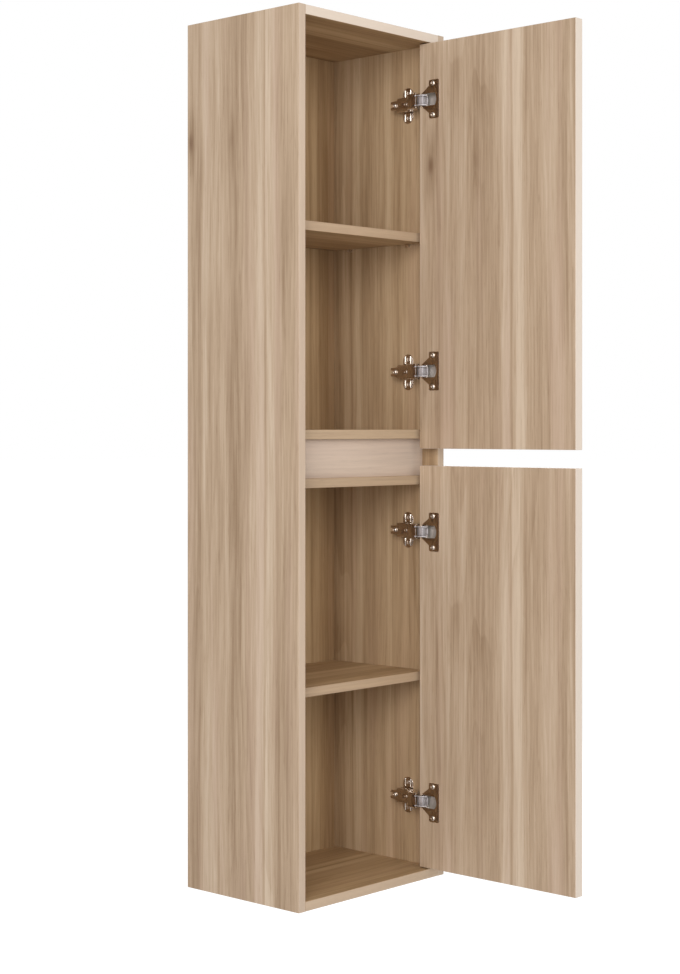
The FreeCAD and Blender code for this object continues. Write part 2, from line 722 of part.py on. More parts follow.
def link_shape(stops, eyes, low, thickness):
    """A hinge link: a bent strap whose two ends are eyes, each given by its wall's radius and bore."""
    stops = [tuple(value(one) for one in stop) for stop in stops]
    body = strap(stops, value("link_half"), low, thickness)
    ends = [FreeCAD.Vector(x, y, low) for x, y in (stops[0], stops[-1])]
    for end, (wall, bore) in zip(ends, eyes):
        body = body.fuse(Part.makeCylinder(value(wall), thickness, end))
    for end, (wall, bore) in zip(ends, eyes):
        body = body.cut(Part.makeCylinder(value(bore), thickness, end))
    return body.removeSplitter()


OUTER_BENDS = (
    (f"({DOOR_X} - 3)", f"({DOOR_EDGE_Y} + 1.5)"),
    (f"({DOOR_X} - 4.2)", f"({DOOR_EDGE_Y} - 3.5)"),
    (f"({DOOR_X} - 3)", f"({DOOR_EDGE_Y} - 8.3)"),
    (f"({DOOR_X} + 1)", f"({DOOR_EDGE_Y} - 9.8)"),
)
INNER_BENDS = (
    (f"({DOOR_X} - 6.2)", f"({DOOR_EDGE_Y} - 3.5)"),
    (f"({DOOR_X} - 4.4)", f"({DOOR_EDGE_Y} - 8.5)"),
    (f"({DOOR_X} - 1.5)", f"({DOOR_EDGE_Y} - 11.5)"),
)


def open_eye(plate, low, thickness):
    """Cut the free eye flat where the outer link's cup pin passes it, so the eye is a hook."""
    side = 2 * value("free_eye_radius + free_eye_wall")
    centre = FreeCAD.Vector(value(FREE_EYE[0]), value(FREE_EYE[1]), low)
    block = Part.makeBox(side, side, thickness, FreeCAD.Vector(value("free_eye_mouth"), -side / 2, 0))
    block.Placement = FreeCAD.Placement(centre, FreeCAD.Rotation(value("free_eye_turn"), 0, 0))
    return plate.cut(block)


def hinge_links(hinge, height):
    """The two links between arm and cup; the inner one is a pair of side plates."""
    outer_width = value("outer_link_width")
    inner_width = value("inner_link_width")
    sheet_value = value("inner_link_sheet")
    arm_eye = ("link_eye", "rivet_radius + rivet_play")
    cup_eye = ("link_eye", "cup_pin_radius + rivet_play")
    free_eye = ("free_eye_radius + free_eye_wall", "free_eye_radius")
    outer = link_shape((OUTER_ARM_PIN, *OUTER_BENDS, OUTER_CUP_PIN), (arm_eye, cup_eye),
                       -outer_width / 2, outer_width)
    plates = []
    for low in (-inner_width / 2, inner_width / 2 - sheet_value):
        stops = (INNER_ARM_PIN, *INNER_BENDS, FREE_EYE)
        plate = link_shape(stops, (arm_eye, free_eye), low, sheet_value)
        plates.append(open_eye(plate, low, sheet_value))
    for name, shape in (("outer_link", outer), ("inner_link", Part.makeCompound(plates))):
        link = document.addObject("Part::Feature", f"{hinge}_{name}")
        link.Label = f"{hinge}_{name}"
        link.Shape = shape
        place(link, "0", "0", height)


def hinges():
    plate_screws = []
    clamp_screws = []
    adjusters = []
    rivets = []
    cup_screws = {"upper": [], "lower": []}
    pins = {"upper": [], "lower": []}
    for hinge, height in HINGE_HEIGHTS.items():
        door_name = hinge.split("_")[0]
        hinge_cup(hinge, height)
        pins[door_name].extend(cup_pins(hinge, height))
        hinge_plate(hinge, height)
        hinge_arm(hinge, height)
        hinge_links(hinge, height)
        for rank in (-1, 1):
            plate_screws.append(screw(f"{hinge}_plate_screw_{rank + 1}", f"({SIDE_X} - plate_sheet)",
                                      "plate_setback", f"({height} + {rank} * plate_screw_spacing / 2)",
                                      WOOD_SCREW, -1))
            cup_screws[door_name].append(
                screw(f"{hinge}_cup_screw_{rank + 1}", f"({DOOR_X} - flange_sheet)",
                      f"({CUP_Y} - cup_screw_back)", f"({height} + {rank} * cup_screw_spacing / 2)",
                      WOOD_SCREW, -1))
        web = f"({SIDE_X} - arm_rise - arm_sheet)"
        clamp_screws.append(screw(f"{hinge}_clamp", web, "clamp_setback", height, CLAMP_SCREW, -1))
        adjusters.append(part_round(f"{hinge}_adjuster", "x", f"{web} - adjuster_rise",
                                    "adjuster_setback", height, "adjuster_radius", "adjuster_length"))
        for name, (x, y) in (("outer", OUTER_ARM_PIN), ("inner", INNER_ARM_PIN)):
            rivets.append(part_round(f"{hinge}_{name}_rivet", "z", x, y, f"{height} - arm_width / 2",
                                     "rivet_radius", "arm_width"))
    group("hinge_plate_screws", plate_screws)
    group("hinge_clamp_screws", clamp_screws)
    group("hinge_adjusting_screws", adjusters)
    group("hinge_arm_rivets", rivets)
    for name in ("upper", "lower"):
        group(f"{name}_cup_screws", cup_screws[name])
        group(f"{name}_cup_pins", pins[name])


def check_and_write():
    """Stop on any failed object or bad shape, then write one file for each finished piece."""
    document.recompute()
    for thing in document.Objects:
        if "Invalid" in thing.State or "Error" in thing.State:
            raise RuntimeError(f"{thing.Label} failed: {thing.State}")
    for thing in finished:
        shape = thing.Shape
        if shape.isNull() or not shape.isValid() or not shape.Solids:
            raise RuntimeError(f"{thing.Label} has no good shape")
    for thing in finished:
        thing.Shape.exportStep(f"parts/{thing.Label}.step")
    print(len(finished), "nodes written")


fill_sheet()
side_panels()
end_panels()
back_panel()
fixed_shelves()
loose_shelves()
dowels()
wall_rail()
hanging_rail()
doors()
hinges()
check_and_write()
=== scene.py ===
"""Looks for a tall wall-hung bathroom cabinet: wood-print boards, nickel hinges and a stage."""

import math

import bmesh
import bpy
from bpy.props import FloatProperty, FloatVectorProperty, PointerProperty
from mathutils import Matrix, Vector


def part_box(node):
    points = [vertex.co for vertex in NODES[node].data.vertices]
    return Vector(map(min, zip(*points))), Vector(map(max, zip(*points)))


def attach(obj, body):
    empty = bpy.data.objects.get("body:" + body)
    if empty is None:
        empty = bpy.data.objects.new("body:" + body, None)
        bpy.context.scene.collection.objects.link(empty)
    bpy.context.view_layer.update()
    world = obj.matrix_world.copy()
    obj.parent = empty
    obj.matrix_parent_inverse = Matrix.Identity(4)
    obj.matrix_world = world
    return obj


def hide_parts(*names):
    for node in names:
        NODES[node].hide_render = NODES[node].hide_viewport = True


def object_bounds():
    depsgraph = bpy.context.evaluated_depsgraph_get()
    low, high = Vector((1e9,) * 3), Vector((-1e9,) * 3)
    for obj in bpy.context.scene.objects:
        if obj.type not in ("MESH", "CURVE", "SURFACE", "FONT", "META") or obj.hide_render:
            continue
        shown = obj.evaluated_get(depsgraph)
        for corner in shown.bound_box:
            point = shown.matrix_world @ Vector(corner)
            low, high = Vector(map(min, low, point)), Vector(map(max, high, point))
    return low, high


bl_info = {
    "name": "Tall Bathroom Cabinet",
    "version": (1, 0, 0),
    "blender": (4, 5, 0),
    "location": "3D View > Sidebar > Cabinet",
    "description": "Finishes a tall bathroom cabinet: wood print, edge bands, cup hinges, stage",
    "category": "Object",
}

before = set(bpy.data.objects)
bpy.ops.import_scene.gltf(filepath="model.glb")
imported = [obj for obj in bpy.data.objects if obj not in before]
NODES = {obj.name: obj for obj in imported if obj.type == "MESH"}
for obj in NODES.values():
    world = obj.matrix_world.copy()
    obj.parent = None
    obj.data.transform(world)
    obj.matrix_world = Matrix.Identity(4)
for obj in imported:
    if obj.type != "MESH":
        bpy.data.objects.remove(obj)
cad_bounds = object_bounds()
MM = 0.001
AXIS_TURNS = {"X": (0.0, math.pi / 2, 0.0), "Z": (0.0, 0.0, 0.0)}     # turns Z to the axis

LEVEL_BOARDS = ("top_panel", "bottom_panel", "upper_fixed_shelf", "lower_fixed_shelf")
LOOSE_SHELVES = ("upper_shelf", "lower_shelf")
LEAVES = ("upper", "lower")
HINGES = ("upper_top_hinge", "upper_bottom_hinge", "lower_top_hinge", "lower_bottom_hinge")


def node_centre(name):
    low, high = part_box(name)
    return (low + high) / 2


# ---------------------------------------------------------------- what a user can change

def colour_property(name, description, red, green, blue):
    return FloatVectorProperty(name=name, description=description, subtype="COLOR", size=3,
                               min=0.0, max=1.0, default=(red, green, blue))


def length_property(name, description, default, **limits):
    return FloatProperty(name=name, description=description, default=default,
                         subtype="DISTANCE", unit="LENGTH", **limits)


class CabinetFinish(bpy.types.PropertyGroup):
    """Colours and scale of the wood print and the metal."""

    wood_light: colour_property("Light wood", "Palest streaks of the print", 0.640, 0.505, 0.375)
    wood_middle: colour_property("Middle wood", "Most of the print", 0.485, 0.352, 0.240)
    wood_dark: colour_property("Dark wood", "Darkest streaks of the print", 0.310, 0.205, 0.124)
    wood_rosy: colour_property("Rosy wood", "Pinkish streaks of the print", 0.520, 0.365, 0.275)
    wood_knot: colour_property("Knot", "Middle of a knot", 0.190, 0.105, 0.058)
    # On the top panel's front edge this pale band is partly painted light falling from above.
    door_edge: colour_property("Door edge", "Edge band of doors and top", 0.745, 0.645, 0.55)
    board_edge: colour_property("Board edge", "Edge band of the carcase", 0.56, 0.445, 0.345)
    shelf_edge: colour_property("Shelf edge", "Edge band of the shelves", 0.480, 0.390, 0.310)
    # Partly the recess panel's own paler, greyer colour and partly a painted glare reflection on
    # its front face.
    recess_pale_and_glare: colour_property("Recess bloom", "Pale bloom of the finger recess",
                                  0.66, 0.57, 0.51)
    nickel: colour_property("Nickel", "Plating of the hinge arms, plates and flanges",
                            0.70, 0.62, 0.55)
    bowl_satin: colour_property("Cup satin", "Inside of the hinge cups", 0.72, 0.68, 0.63)
    link_satin: colour_property("Link satin", "Links between arm and cup", 0.50, 0.465, 0.47)
    # Painted shade: the rivets are coloured dark for the arm's shadow that falls on them.
    painted_shade_pin: colour_property("Dark pin", "Rivets in the arm's shadow", 0.26, 0.21, 0.175)
    screw_zinc: colour_property("Screw zinc", "Screws and pins", 0.74, 0.665, 0.60)
    bare_steel: colour_property("Steel", "Rails at the wall", 0.74, 0.74, 0.74)
    grain_width: length_property("Grain width", "Width of one middling streak of the print",
                                 0.014, min=0.002, max=0.05)
    grain_length: length_property("Grain length", "Length of one middling streak of the print",
                                  0.55, min=0.05, max=2.0)
    board_gloss: FloatProperty(name="Board gloss", description="How strongly the boards reflect",
                               default=0.32, min=0.0, max=1.0)


class CabinetStage(bpy.types.PropertyGroup):
    """Camera, lamps and floor."""

    camera_distance_x: length_property("Camera left", "Camera's place along X", -2.2948)
    camera_distance_y: length_property("Camera front", "Camera's place along Y", -2.2814)
    camera_height: length_property("Camera height", "Camera's place along Z", -0.59134)
    camera_turn: FloatProperty(name="Camera turn", default=math.radians(47.455),
                               description="How far right of straight back it looks",
                               subtype="ANGLE", unit="ROTATION")
    camera_lens: FloatProperty(name="Lens", description="Focal length on a 36 mm frame",
                               default=70.6, unit="CAMERA")
    camera_shift: FloatProperty(name="Shift", description="Upright shift of the frame",
                                default=-0.0623)
    room_light: FloatProperty(name="Room light", default=0.42, min=0.0, max=1.0,
                              description="Strength of the white room's light on the object")
    floor_drop: length_property("Floor drop", "Gap between the cabinet and the floor", 0.30)


class HingeSizes(bpy.types.PropertyGroup):
    """Roundings of the pressed hinge parts that the plain solids leave out."""

    fold_radius: length_property("Fold", "Outer radius of the arm's folded edges",
                                 0.0020, min=0.0016, max=0.004)
    sheet_ease: length_property("Sheet edge", "Rounding of the pressed sheet's edges",
                                0.00028, min=0.0001, max=0.0005)
    ridge_thickness: length_property("Rib thickness", "How far a wing's ribs stand off the plate",
                                     0.0017, min=0.0005, max=0.002)
    ridge_length: length_property("Rib length", "Length of a wing's ribs",
                                  0.0150, min=0.005, max=0.018)


def finish():
    """The settings of the finish."""
    return bpy.context.scene.cabinet_finish


def hinge_sizes():
    return bpy.context.scene.hinge_sizes


# ---------------------------------------------------------------- node helpers

# Sockets of the mix node when it mixes colours.
MIX_SHARE, MIX_FIRST, MIX_SECOND = 0, 6, 7
MIX_COLOUR = 2


class Shading:
    """A material's node tree, with short ways to add and join its nodes."""

    def __init__(self, name):
        self.material = bpy.data.materials.new(name)
        self.material.use_nodes = True
        self.tree = self.material.node_tree
        self.surface = self.tree.nodes["Principled BSDF"]

    def add(self, kind, inputs=None, **settings):
        made = self.tree.nodes.new(kind)
        for key, setting in settings.items():
            setattr(made, key, setting)
        for key, given in (inputs or {}).items():
            self.put(made.inputs[key], given)
        return made

    def put(self, socket, given):
        if isinstance(given, bpy.types.NodeSocket):
            self.tree.links.new(given, socket)
        else:
            socket.default_value = given

    def sum(self, operation, first, second=0.0, third=0.0, clamp=False):
        made = self.add("ShaderNodeMath", {0: first, 1: second, 2: third}, operation=operation)
        made.use_clamp = clamp
        return made.outputs[0]

    def noise(self, coordinates, scale, detail=2.0, roughness=0.5):
        """Smooth noise from 0 to 1; detail is how many finer octaves it has."""
        made = self.add("ShaderNodeTexNoise", {"Vector": coordinates, "Scale": scale,
                                               "Detail": detail, "Roughness": roughness})
        return made.outputs["Fac"]

    def scaled(self, coordinates, factors):
        made = self.add("ShaderNodeVectorMath", {0: coordinates, 1: factors}, operation="MULTIPLY")
        return made.outputs[0]

    def steps(self, share, low, high):
        """0 below low, 1 above high and smooth between."""
        made = self.add("ShaderNodeMapRange", {"Value": share, "From Min": low, "From Max": high},
                        interpolation_type="SMOOTHSTEP")
        return made.outputs[0]

    def mixed(self, share, first, second, blend="MIX"):
        """Two colours, each a socket or red, green and blue, mixed by a share."""
        made = self.add("ShaderNodeMix", data_type="RGBA", blend_type=blend)
        self.put(made.inputs[MIX_SHARE], share)
        for socket, colour in ((MIX_FIRST, first), (MIX_SECOND, second)):
            given = colour if isinstance(colour, bpy.types.NodeSocket) else (*colour, 1.0)
            self.put(made.inputs[socket], given)
        return made.outputs[MIX_COLOUR]

    def faces_along(self, axis):
        """1 on faces whose own normal lies along the axis, else 0."""
        normal = self.add("ShaderNodeTexCoord").outputs["Normal"]
        part = self.add("ShaderNodeSeparateXYZ", {0: normal}).outputs["XYZ".index(axis)]
        return self.steps(self.sum("ABSOLUTE", part), 0.6, 0.8)


# ---------------------------------------------------------------- wood print

# Each bend of the grain: how fast it turns across, across and along, and how far it reaches.
SWAYS = (((2.4, 2.4, 0.7), 0.020), ((10.0, 10.0, 3.2), 0.0055), ((34.0, 34.0, 9.0), 0.0022))

# Each layer of streaks: its share of the tone, then width and length in middling streaks.
STREAKS = ((0.9, 5.5, 3.0), (0.8, 1.0, 0.7), (0.8, 0.30, 0.32))
FIBRE_SIZE = (0.08, 0.10)           # in middling streaks as well
FIBRE_SHARE = 0.35
RING_COUNT = 17.0                   # lines from the darkest to the palest of the swirl
RING_SHARE = -0.16
PORE_SIZE = (0.0018, 0.030)
PORE_SHARE = -0.13
ROSY_SHARE = 0.35
ROSY_SIZE = (2.2, 1.4)

# A knot: the dark smear of grain round it, and its core, each half its size across and along.
SMEAR_SIZE = (0.016, 0.085)
SMEAR_SHARE = -0.40
CORE_SIZE = (0.009, 0.024)
CORE_SHARE = 0.75


def wander(shading, place):
    """Bend the grain across itself: a long slow sway, a short one and a fine one."""
    for stretch, reach in SWAYS:
        sway = shading.add("ShaderNodeTexNoise", {"Vector": shading.scaled(place, stretch),
                                                  "Scale": 1.0, "Detail": 1.0}).outputs["Color"]
        sway = shading.add("ShaderNodeVectorMath", {0: sway, 1: (0.5, 0.5, 0.5)},
                           operation="SUBTRACT")
        sway = shading.scaled(sway.outputs[0], (reach, reach, 0.0))
        place = shading.add("ShaderNodeVectorMath", {0: place, 1: sway}, operation="ADD").outputs[0]
    return place


def grain_layer(shading, place, width, length, detail=2.0):
    """Noise whose blots are as wide and as long as given, in metres."""
    return shading.noise(shading.scaled(place, (1 / width, 1 / width, 1 / length)), 1.0, detail)


def ring_lines(shading, place):
    """Dark late-wood lines that close into tall flames, in patches."""
    swirl = shading.noise(shading.scaled(place, (9.0, 9.0, 0.75)), 1.0, 1.5)
    saw = shading.sum("FRACT", shading.sum("MULTIPLY", swirl, RING_COUNT))
    line = shading.sum("SUBTRACT", shading.steps(saw, 0.30, 0.95), shading.steps(saw, 0.95, 1.0))
    patch = shading.noise(shading.scaled(place, (6.0, 6.0, 1.1)), 1.0, 1.0)
    return shading.sum("MULTIPLY", line, shading.steps(patch, 0.42, 0.62))


def short_pores(shading, place):
    """Fine open pores, each a few centimetres long."""
    return shading.steps(grain_layer(shading, place, *PORE_SIZE, 1.0), 0.60, 0.70)


# Broad bands of the decor sheet: how far across Y from its knot, how wide, how much paler.
DECOR_BANDS = ((-0.013, 0.020, -0.16), (-0.035, 0.015, 0.16), (-0.072, 0.030, 0.04),
               (-0.112, 0.046, -0.15), (-0.157, 0.016, 0.30), (-0.168, 0.004, -0.16),
               (-0.180, 0.022, 0.32), (-0.222, 0.030, -0.05), (-0.252, 0.012, 0.14),
               (-0.272, 0.012, -0.12))
DECOR_REPEAT = (-0.290, 0.030)      # the sheet's bands start again past these


def decor_bands(shading, place, axis):
    """How much paler the sheet's broad bands make the print, with a slow fade along the grain."""
    across = shading.add("ShaderNodeSeparateXYZ", {0: place}).outputs["XYZ".index(axis)]
    across = shading.sum("WRAP", across, DECOR_REPEAT[1], DECOR_REPEAT[0])
    total = 0.0
    for middle, width, share in DECOR_BANDS:
        away = shading.sum("ABSOLUTE", shading.sum("SUBTRACT", across, middle))
        inside = shading.steps(shading.sum("MULTIPLY_ADD", away, -1 / width, 1.0), 0.25, 0.75)
        total = shading.sum("MULTIPLY_ADD", inside, share, total)
    fade = shading.noise(shading.scaled(place, (3.0, 3.0, 1.4)), 1.0, 1.0)
    return shading.sum("MULTIPLY", total, shading.sum("MULTIPLY_ADD", fade, 1.6, 0.2))


def blot(shading, place, middle, size):
    """1 in the middle of an oval patch, 0 outside it; both pairs are across and along the grain."""
    offset = shading.add("ShaderNodeVectorMath", {0: place, 1: (0.0, *middle)},
                         operation="SUBTRACT").outputs[0]
    offset = shading.scaled(offset, (0.0, 1 / size[0], 1 / size[1]))
    reach = shading.add("ShaderNodeVectorMath", {0: offset}, operation="LENGTH").outputs["Value"]
    return shading.steps(shading.sum("SUBTRACT", 1.0, reach), 0.0, 1.0)


def wood_tone(shading, place, across):
    """How pale the print is, from 0 to 1, before its knots, and its fibres alone."""
    width, length = finish().grain_width, finish().grain_length
    tone = 0.5 - sum(share for share, *size in STREAKS) / 2
    for share, wide, long in STREAKS:
        layer = grain_layer(shading, place, width * wide, length * long)
        tone = shading.sum("MULTIPLY_ADD", layer, share, tone)
    fibre = grain_layer(shading, place, width * FIBRE_SIZE[0], length * FIBRE_SIZE[1])
    tone = shading.sum("MULTIPLY_ADD", shading.sum("SUBTRACT", fibre, 0.5), FIBRE_SHARE, tone)
    tone = shading.sum("ADD", decor_bands(shading, place, across), tone)
    tone = shading.sum("MULTIPLY_ADD", ring_lines(shading, place), RING_SHARE, tone)
    tone = shading.sum("MULTIPLY_ADD", short_pores(shading, place), PORE_SHARE, tone)
    return tone, fibre


def wood_colour(shading, grain_axis, offset, knots=(), across="Y", warmth=(1.0, 1.0, 1.0)):
    """Colour of the print with its grain along one axis of the board, and its fibres alone."""
    look = finish()
    place = shading.add("ShaderNodeTexCoord").outputs["Object"]
    straight = shading.add("ShaderNodeMapping", {"Vector": place, "Location": offset,
                                                 "Rotation": AXIS_TURNS[grain_axis]}).outputs[0]
    place = wander(shading, straight)
    tone, fibre = wood_tone(shading, place, across)
    for *middle, depth in knots:
        smear = blot(shading, straight, middle, SMEAR_SIZE)
        tone = shading.sum("MULTIPLY_ADD", smear, SMEAR_SHARE * depth, tone)
    ramp = shading.add("ShaderNodeValToRGB", {0: tone})
    ramp.color_ramp.elements[0].color = (*look.wood_dark, 1.0)
    ramp.color_ramp.elements[1].color = (*look.wood_light, 1.0)
    ramp.color_ramp.elements.new(0.5).color = (*look.wood_middle, 1.0)
    hue = grain_layer(shading, place, look.grain_width * ROSY_SIZE[0],
                      look.grain_length * ROSY_SIZE[1], 1.0)
    rosy = shading.sum("MULTIPLY", shading.steps(hue, 0.5, 0.72), ROSY_SHARE)
    colour = shading.mixed(rosy, ramp.outputs[0], look.wood_rosy)
    for *middle, depth in knots:
        core = blot(shading, straight, middle, CORE_SIZE)
        share = shading.sum("MULTIPLY", core, CORE_SHARE * depth * depth)
        colour = shading.mixed(share, colour, look.wood_knot)
    # Painted shade: the tint multiplies the print darker and warmer where the board lies inside the
    # cabinet.
    return shading.mixed(1.0, colour, warmth, "MULTIPLY"), fibre


def wood_print(name, grain_axis="Z", offset=(0.0, 0.0, 0.0), edge_axes=(), edge_colour=None,
               edge_share=0.7, **print_settings):
    """Satin board with the print on its faces and a paler band on its edges."""
    shading = Shading(name)
    surface = shading.surface.inputs
    colour, fibre = wood_colour(shading, grain_axis, offset, **print_settings)
    for axis in edge_axes:
        share = shading.sum("MULTIPLY", shading.faces_along(axis), edge_share)
        colour = shading.mixed(share, colour, edge_colour)
    shading.put(surface["Base Color"], colour)
    surface["Specular IOR Level"].default_value = finish().board_gloss
    shading.put(surface["Roughness"], shading.sum("MULTIPLY_ADD", fibre, 0.20, 0.40))
    bump = shading.add("ShaderNodeBump", {"Height": fibre, "Strength": 0.15, "Distance": 0.0004})
    shading.put(surface["Normal"], bump.outputs[0])
    return shading.material


# ---------------------------------------------------------------- metal

HAZE_SCALE = 220.0
DRAWN_SCALE = 2400.0
DRAWN_STRETCH = (1.0, 0.05, 1.0)    # the marks run along Y


def plated(name, colour, roughness, scratches=0.08):
    """Plated metal: a little uneven in polish, with drawn marks along the press direction."""
    shading = Shading(name)
    surface = shading.surface.inputs
    place = shading.add("ShaderNodeTexCoord").outputs["Object"]
    haze = shading.noise(place, HAZE_SCALE, 3.0)
    drawn = shading.noise(shading.scaled(place, DRAWN_STRETCH), DRAWN_SCALE, 2.0)
    tint = shading.sum("MULTIPLY_ADD", haze, 0.10, 0.92)
    shaded = shading.add("ShaderNodeVectorMath", {0: colour, "Scale": tint}, operation="SCALE")
    shading.put(surface["Base Color"], shaded.outputs[0])
    surface["Metallic"].default_value = 1.0
    rough = shading.sum("MULTIPLY_ADD", haze, 0.10, roughness - 0.05)
    shading.put(surface["Roughness"], shading.sum("MULTIPLY_ADD", drawn, scratches, rough))
    return shading.material


def dress(names, material):
    """Give CAD nodes a new finish in all their slots."""
    for name in names:
        mesh = NODES[name].data
        mesh.materials.clear()
        mesh.materials.append(material)


# ---------------------------------------------------------------- modelling by hand, in millimetres

TOUCH = 0.05            # corners nearer than this are at the same place
SAME_SPOT = 0.002       # corners nearer than this are merged
MEND_SPOT = 0.003       # the same, before edges are rounded


def settled(name):
    """Put the new primitive's place into its mesh and name it."""
    made = bpy.context.object
    made.name = name
    bpy.ops.object.transform_apply(location=True, rotation=True, scale=True)
    return made


def block(name, low, high):
    """A box between two corners."""
    bpy.ops.object.select_all(action="DESELECT")
    sides = [(far - near) * MM for near, far in zip(low, high)]
    middle = [(far + near) / 2 * MM for near, far in zip(low, high)]
    bpy.ops.mesh.primitive_cube_add(size=1.0, location=middle, scale=sides)
    return settled(name)


def rod(name, axis, middle, radius, length, sides=48):
    """A round bar along an axis."""
    bpy.ops.object.select_all(action="DESELECT")
    bpy.ops.mesh.primitive_cylinder_add(vertices=sides, radius=radius * MM, depth=length * MM,
                                        location=[part * MM for part in middle],
                                        rotation=AXIS_TURNS[axis])
    return settled(name)


def activate(piece):
    bpy.ops.object.select_all(action="DESELECT")
    piece.select_set(True)
    bpy.context.view_layer.objects.active = piece


def edit(piece):
    activate(piece)
    bpy.ops.object.mode_set(mode="EDIT")


def leave_edit():
    bpy.ops.object.mode_set(mode="OBJECT")


def pick(piece, kind, test):
    """In edit mode, select only the verts, edges or faces whose middle and self pass the test."""
    mode = {"verts": "VERT", "edges": "EDGE", "faces": "FACE"}[kind]
    bpy.ops.mesh.select_mode(type=mode)
    bpy.ops.mesh.select_all(action="DESELECT")
    mesh = bmesh.from_edit_mesh(piece.data)
    for part in getattr(mesh, kind):
        corners = [part] if kind == "verts" else part.verts
        middle = sum((corner.co for corner in corners), Vector()) / len(corners)
        if test(middle / MM, part):
            part.select_set(True)
    bmesh.update_edit_mesh(piece.data)


def move(x=0.0, y=0.0, z=0.0):
    bpy.ops.transform.translate(value=(x * MM, y * MM, z * MM))


def slice_across(places):
    """In edit mode, cut new edges round the piece at each place along Y."""
    for place in places:
        bpy.ops.mesh.select_all(action="SELECT")
        bpy.ops.mesh.bisect(plane_co=(0.0, place * MM, 0.0), plane_no=(0.0, 1.0, 0.0))


def apply_modifier(piece, kind, **settings):
    activate(piece)
    bpy.ops.object.modifier_add(type=kind)
    modifier = piece.modifiers[-1]
    for key, setting in settings.items():
        setattr(modifier, key, setting)
    bpy.ops.object.modifier_apply(modifier=modifier.name)


def carve(piece, tool, operation="DIFFERENCE"):
    """Cut a tool out of a piece, and take the tool away."""
    apply_modifier(piece, "BOOLEAN", object=tool, operation=operation, solver="EXACT")
    drop(tool)
    activate(piece)
    return piece


def weld(piece, *tools):
    """Add tools to a piece."""
    for tool in tools:
        carve(piece, tool, "UNION")
    return piece


def smooth(piece, angle=32.0):
    """Settle the faces as clean triangles and shade them smooth up to an angle."""
    edit(piece)
    bpy.ops.mesh.select_all(action="SELECT")
    bpy.ops.mesh.remove_doubles(threshold=SAME_SPOT * MM)
    bpy.ops.mesh.dissolve_degenerate(threshold=SAME_SPOT * MM)
    bpy.ops.mesh.quads_convert_to_tris(quad_method="BEAUTY", ngon_method="BEAUTY")
    bpy.ops.mesh.normals_make_consistent(inside=False)
    leave_edit()
    bpy.ops.object.shade_smooth_by_angle(angle=math.radians(angle))
    return piece


def soften(piece, width, angle=38.0):
    """Round the piece's sharp edges a little and shade it smooth between them."""
    edit(piece)
    bpy.ops.mesh.select_all(action="SELECT")
    bpy.ops.mesh.remove_doubles(threshold=MEND_SPOT * MM)
    bpy.ops.mesh.dissolve_limited(angle_limit=math.radians(0.5))
    leave_edit()
    apply_modifier(piece, "BEVEL", width=width, segments=2, limit_method="ANGLE",
                   angle_limit=math.radians(angle), use_clamp_overlap=True)
    return smooth(piece)


def ease_edges(piece, width, segments, test):
    """Round only the edges that pass the test."""
    edit(piece)
    pick(piece, "edges", test)
    bpy.ops.mesh.bevel(offset=width * MM, offset_type="OFFSET", segments=segments, affect="EDGES")
    leave_edit()
    return piece


def lies_along(edge, axis):
    """Whether an edge is straight along an axis."""
    way = edge.verts[1].co - edge.verts[0].co
    return abs(way["XYZ".index(axis)]) > 0.99 * way.length


def coat(piece, *materials):
    """Give a piece its materials in place of the ones it has."""
    piece.data.materials.clear()
    for material in materials:
        piece.data.materials.append(material)


def copied(master, name, x=0.0, y=0.0, z=0.0):
    """A copy of a finished piece with its own mesh, moved."""
    activate(master)
    bpy.ops.object.duplicate(linked=False)
    made = bpy.context.object
    made.name = name
    move(x, y, z)
    bpy.ops.object.transform_apply(location=True, rotation=True, scale=True)
    return made


def drop(piece):
    activate(piece)
    bpy.ops.object.delete()


def joined(name, pieces):
    """Several finished solids kept as one piece."""
    bpy.ops.object.select_all(action="DESELECT")
    for piece in pieces:
        piece.select_set(True)
    bpy.context.view_layer.objects.active = pieces[0]
    bpy.ops.object.join()
    pieces[0].name = name
    return pieces[0]


def stands_for(piece, node, body):
    """The piece takes its node's place and moves with the body."""
    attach(piece, body)
    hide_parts(node)


# ------------------------------------------------ hinge shapes at height 0, in millimetres

INNER_FACE = 160.0          # the right side's inner face, across X
DOOR_FACE = 133.5           # the open door's face that the cups are let into

PLATE = 2.0                 # thickness of the plate's wings
WING_Y = -186.0             # middle of the plate's screws and wings
WING_HALF = 11.0            # half its width along Y
WING_REACH = 30.0           # from the arm's middle to a wing's end
WING_SCREW_Z = 21.0
RIB_SHIFT = 5.9             # from the screw to each rib beside it
SLOT_HALF = (2.6, 2.8)      # the screw's slot, along Y and Z
SPINE_ENDS = (-200.0, -164.0)   # of the block under the arm, along Y
SPINE_HALF = 7.0

SHEET = 1.5                 # thickness of the arm's steel
WEB_X = 143.5               # the arm's flat top
NOSE_X = 124.9              # its cranked nose
SKIRT_X = INNER_FACE - 4.5  # its skirts' free edge, where they are deepest
ARM_HALF = 12.2
# Along the arm from nose to tail: Y, X of its web, X of its skirts' free edge, half its width.
ARM_STATIONS = ((-230.38, 124.9, 136.09, 12.2), (-227.13, 124.9, 138.04, 12.2),
                (-214.0, 124.9, 147.95, 12.2), (-204.0, 135.23, 155.5, 12.2),
                (-196.0, 143.5, 155.5, 12.2), (-174.0, 143.5, 154.5, 11.9))
TAIL_ENDS = (-175.5, -160.0)
TAIL_HALF = 7.8
FORK_Y = -174.0             # bottom of the notch between the tail's prongs
FORK_HALF = 2.9
LINK_SLOT_Z = 7.9           # slots in the nose, over the inner link's two plates
LINK_SLOT_HALF = 1.2
CLAMP_Y = -169.0
CLAMP_HOLE = 2.1
ADJUSTER_Y = -193.0
ADJUSTER_HOLE = 2.95
OUTER_RIVET = (136.09, -227.13)     # X and Y of the links' pivots on the arm
INNER_RIVET = (126.85, -228.43)
RIVET = 1.25
RIVET_HOLE = 1.27
RIVET_HEAD = (1.9, 0.7)     # radius and rise

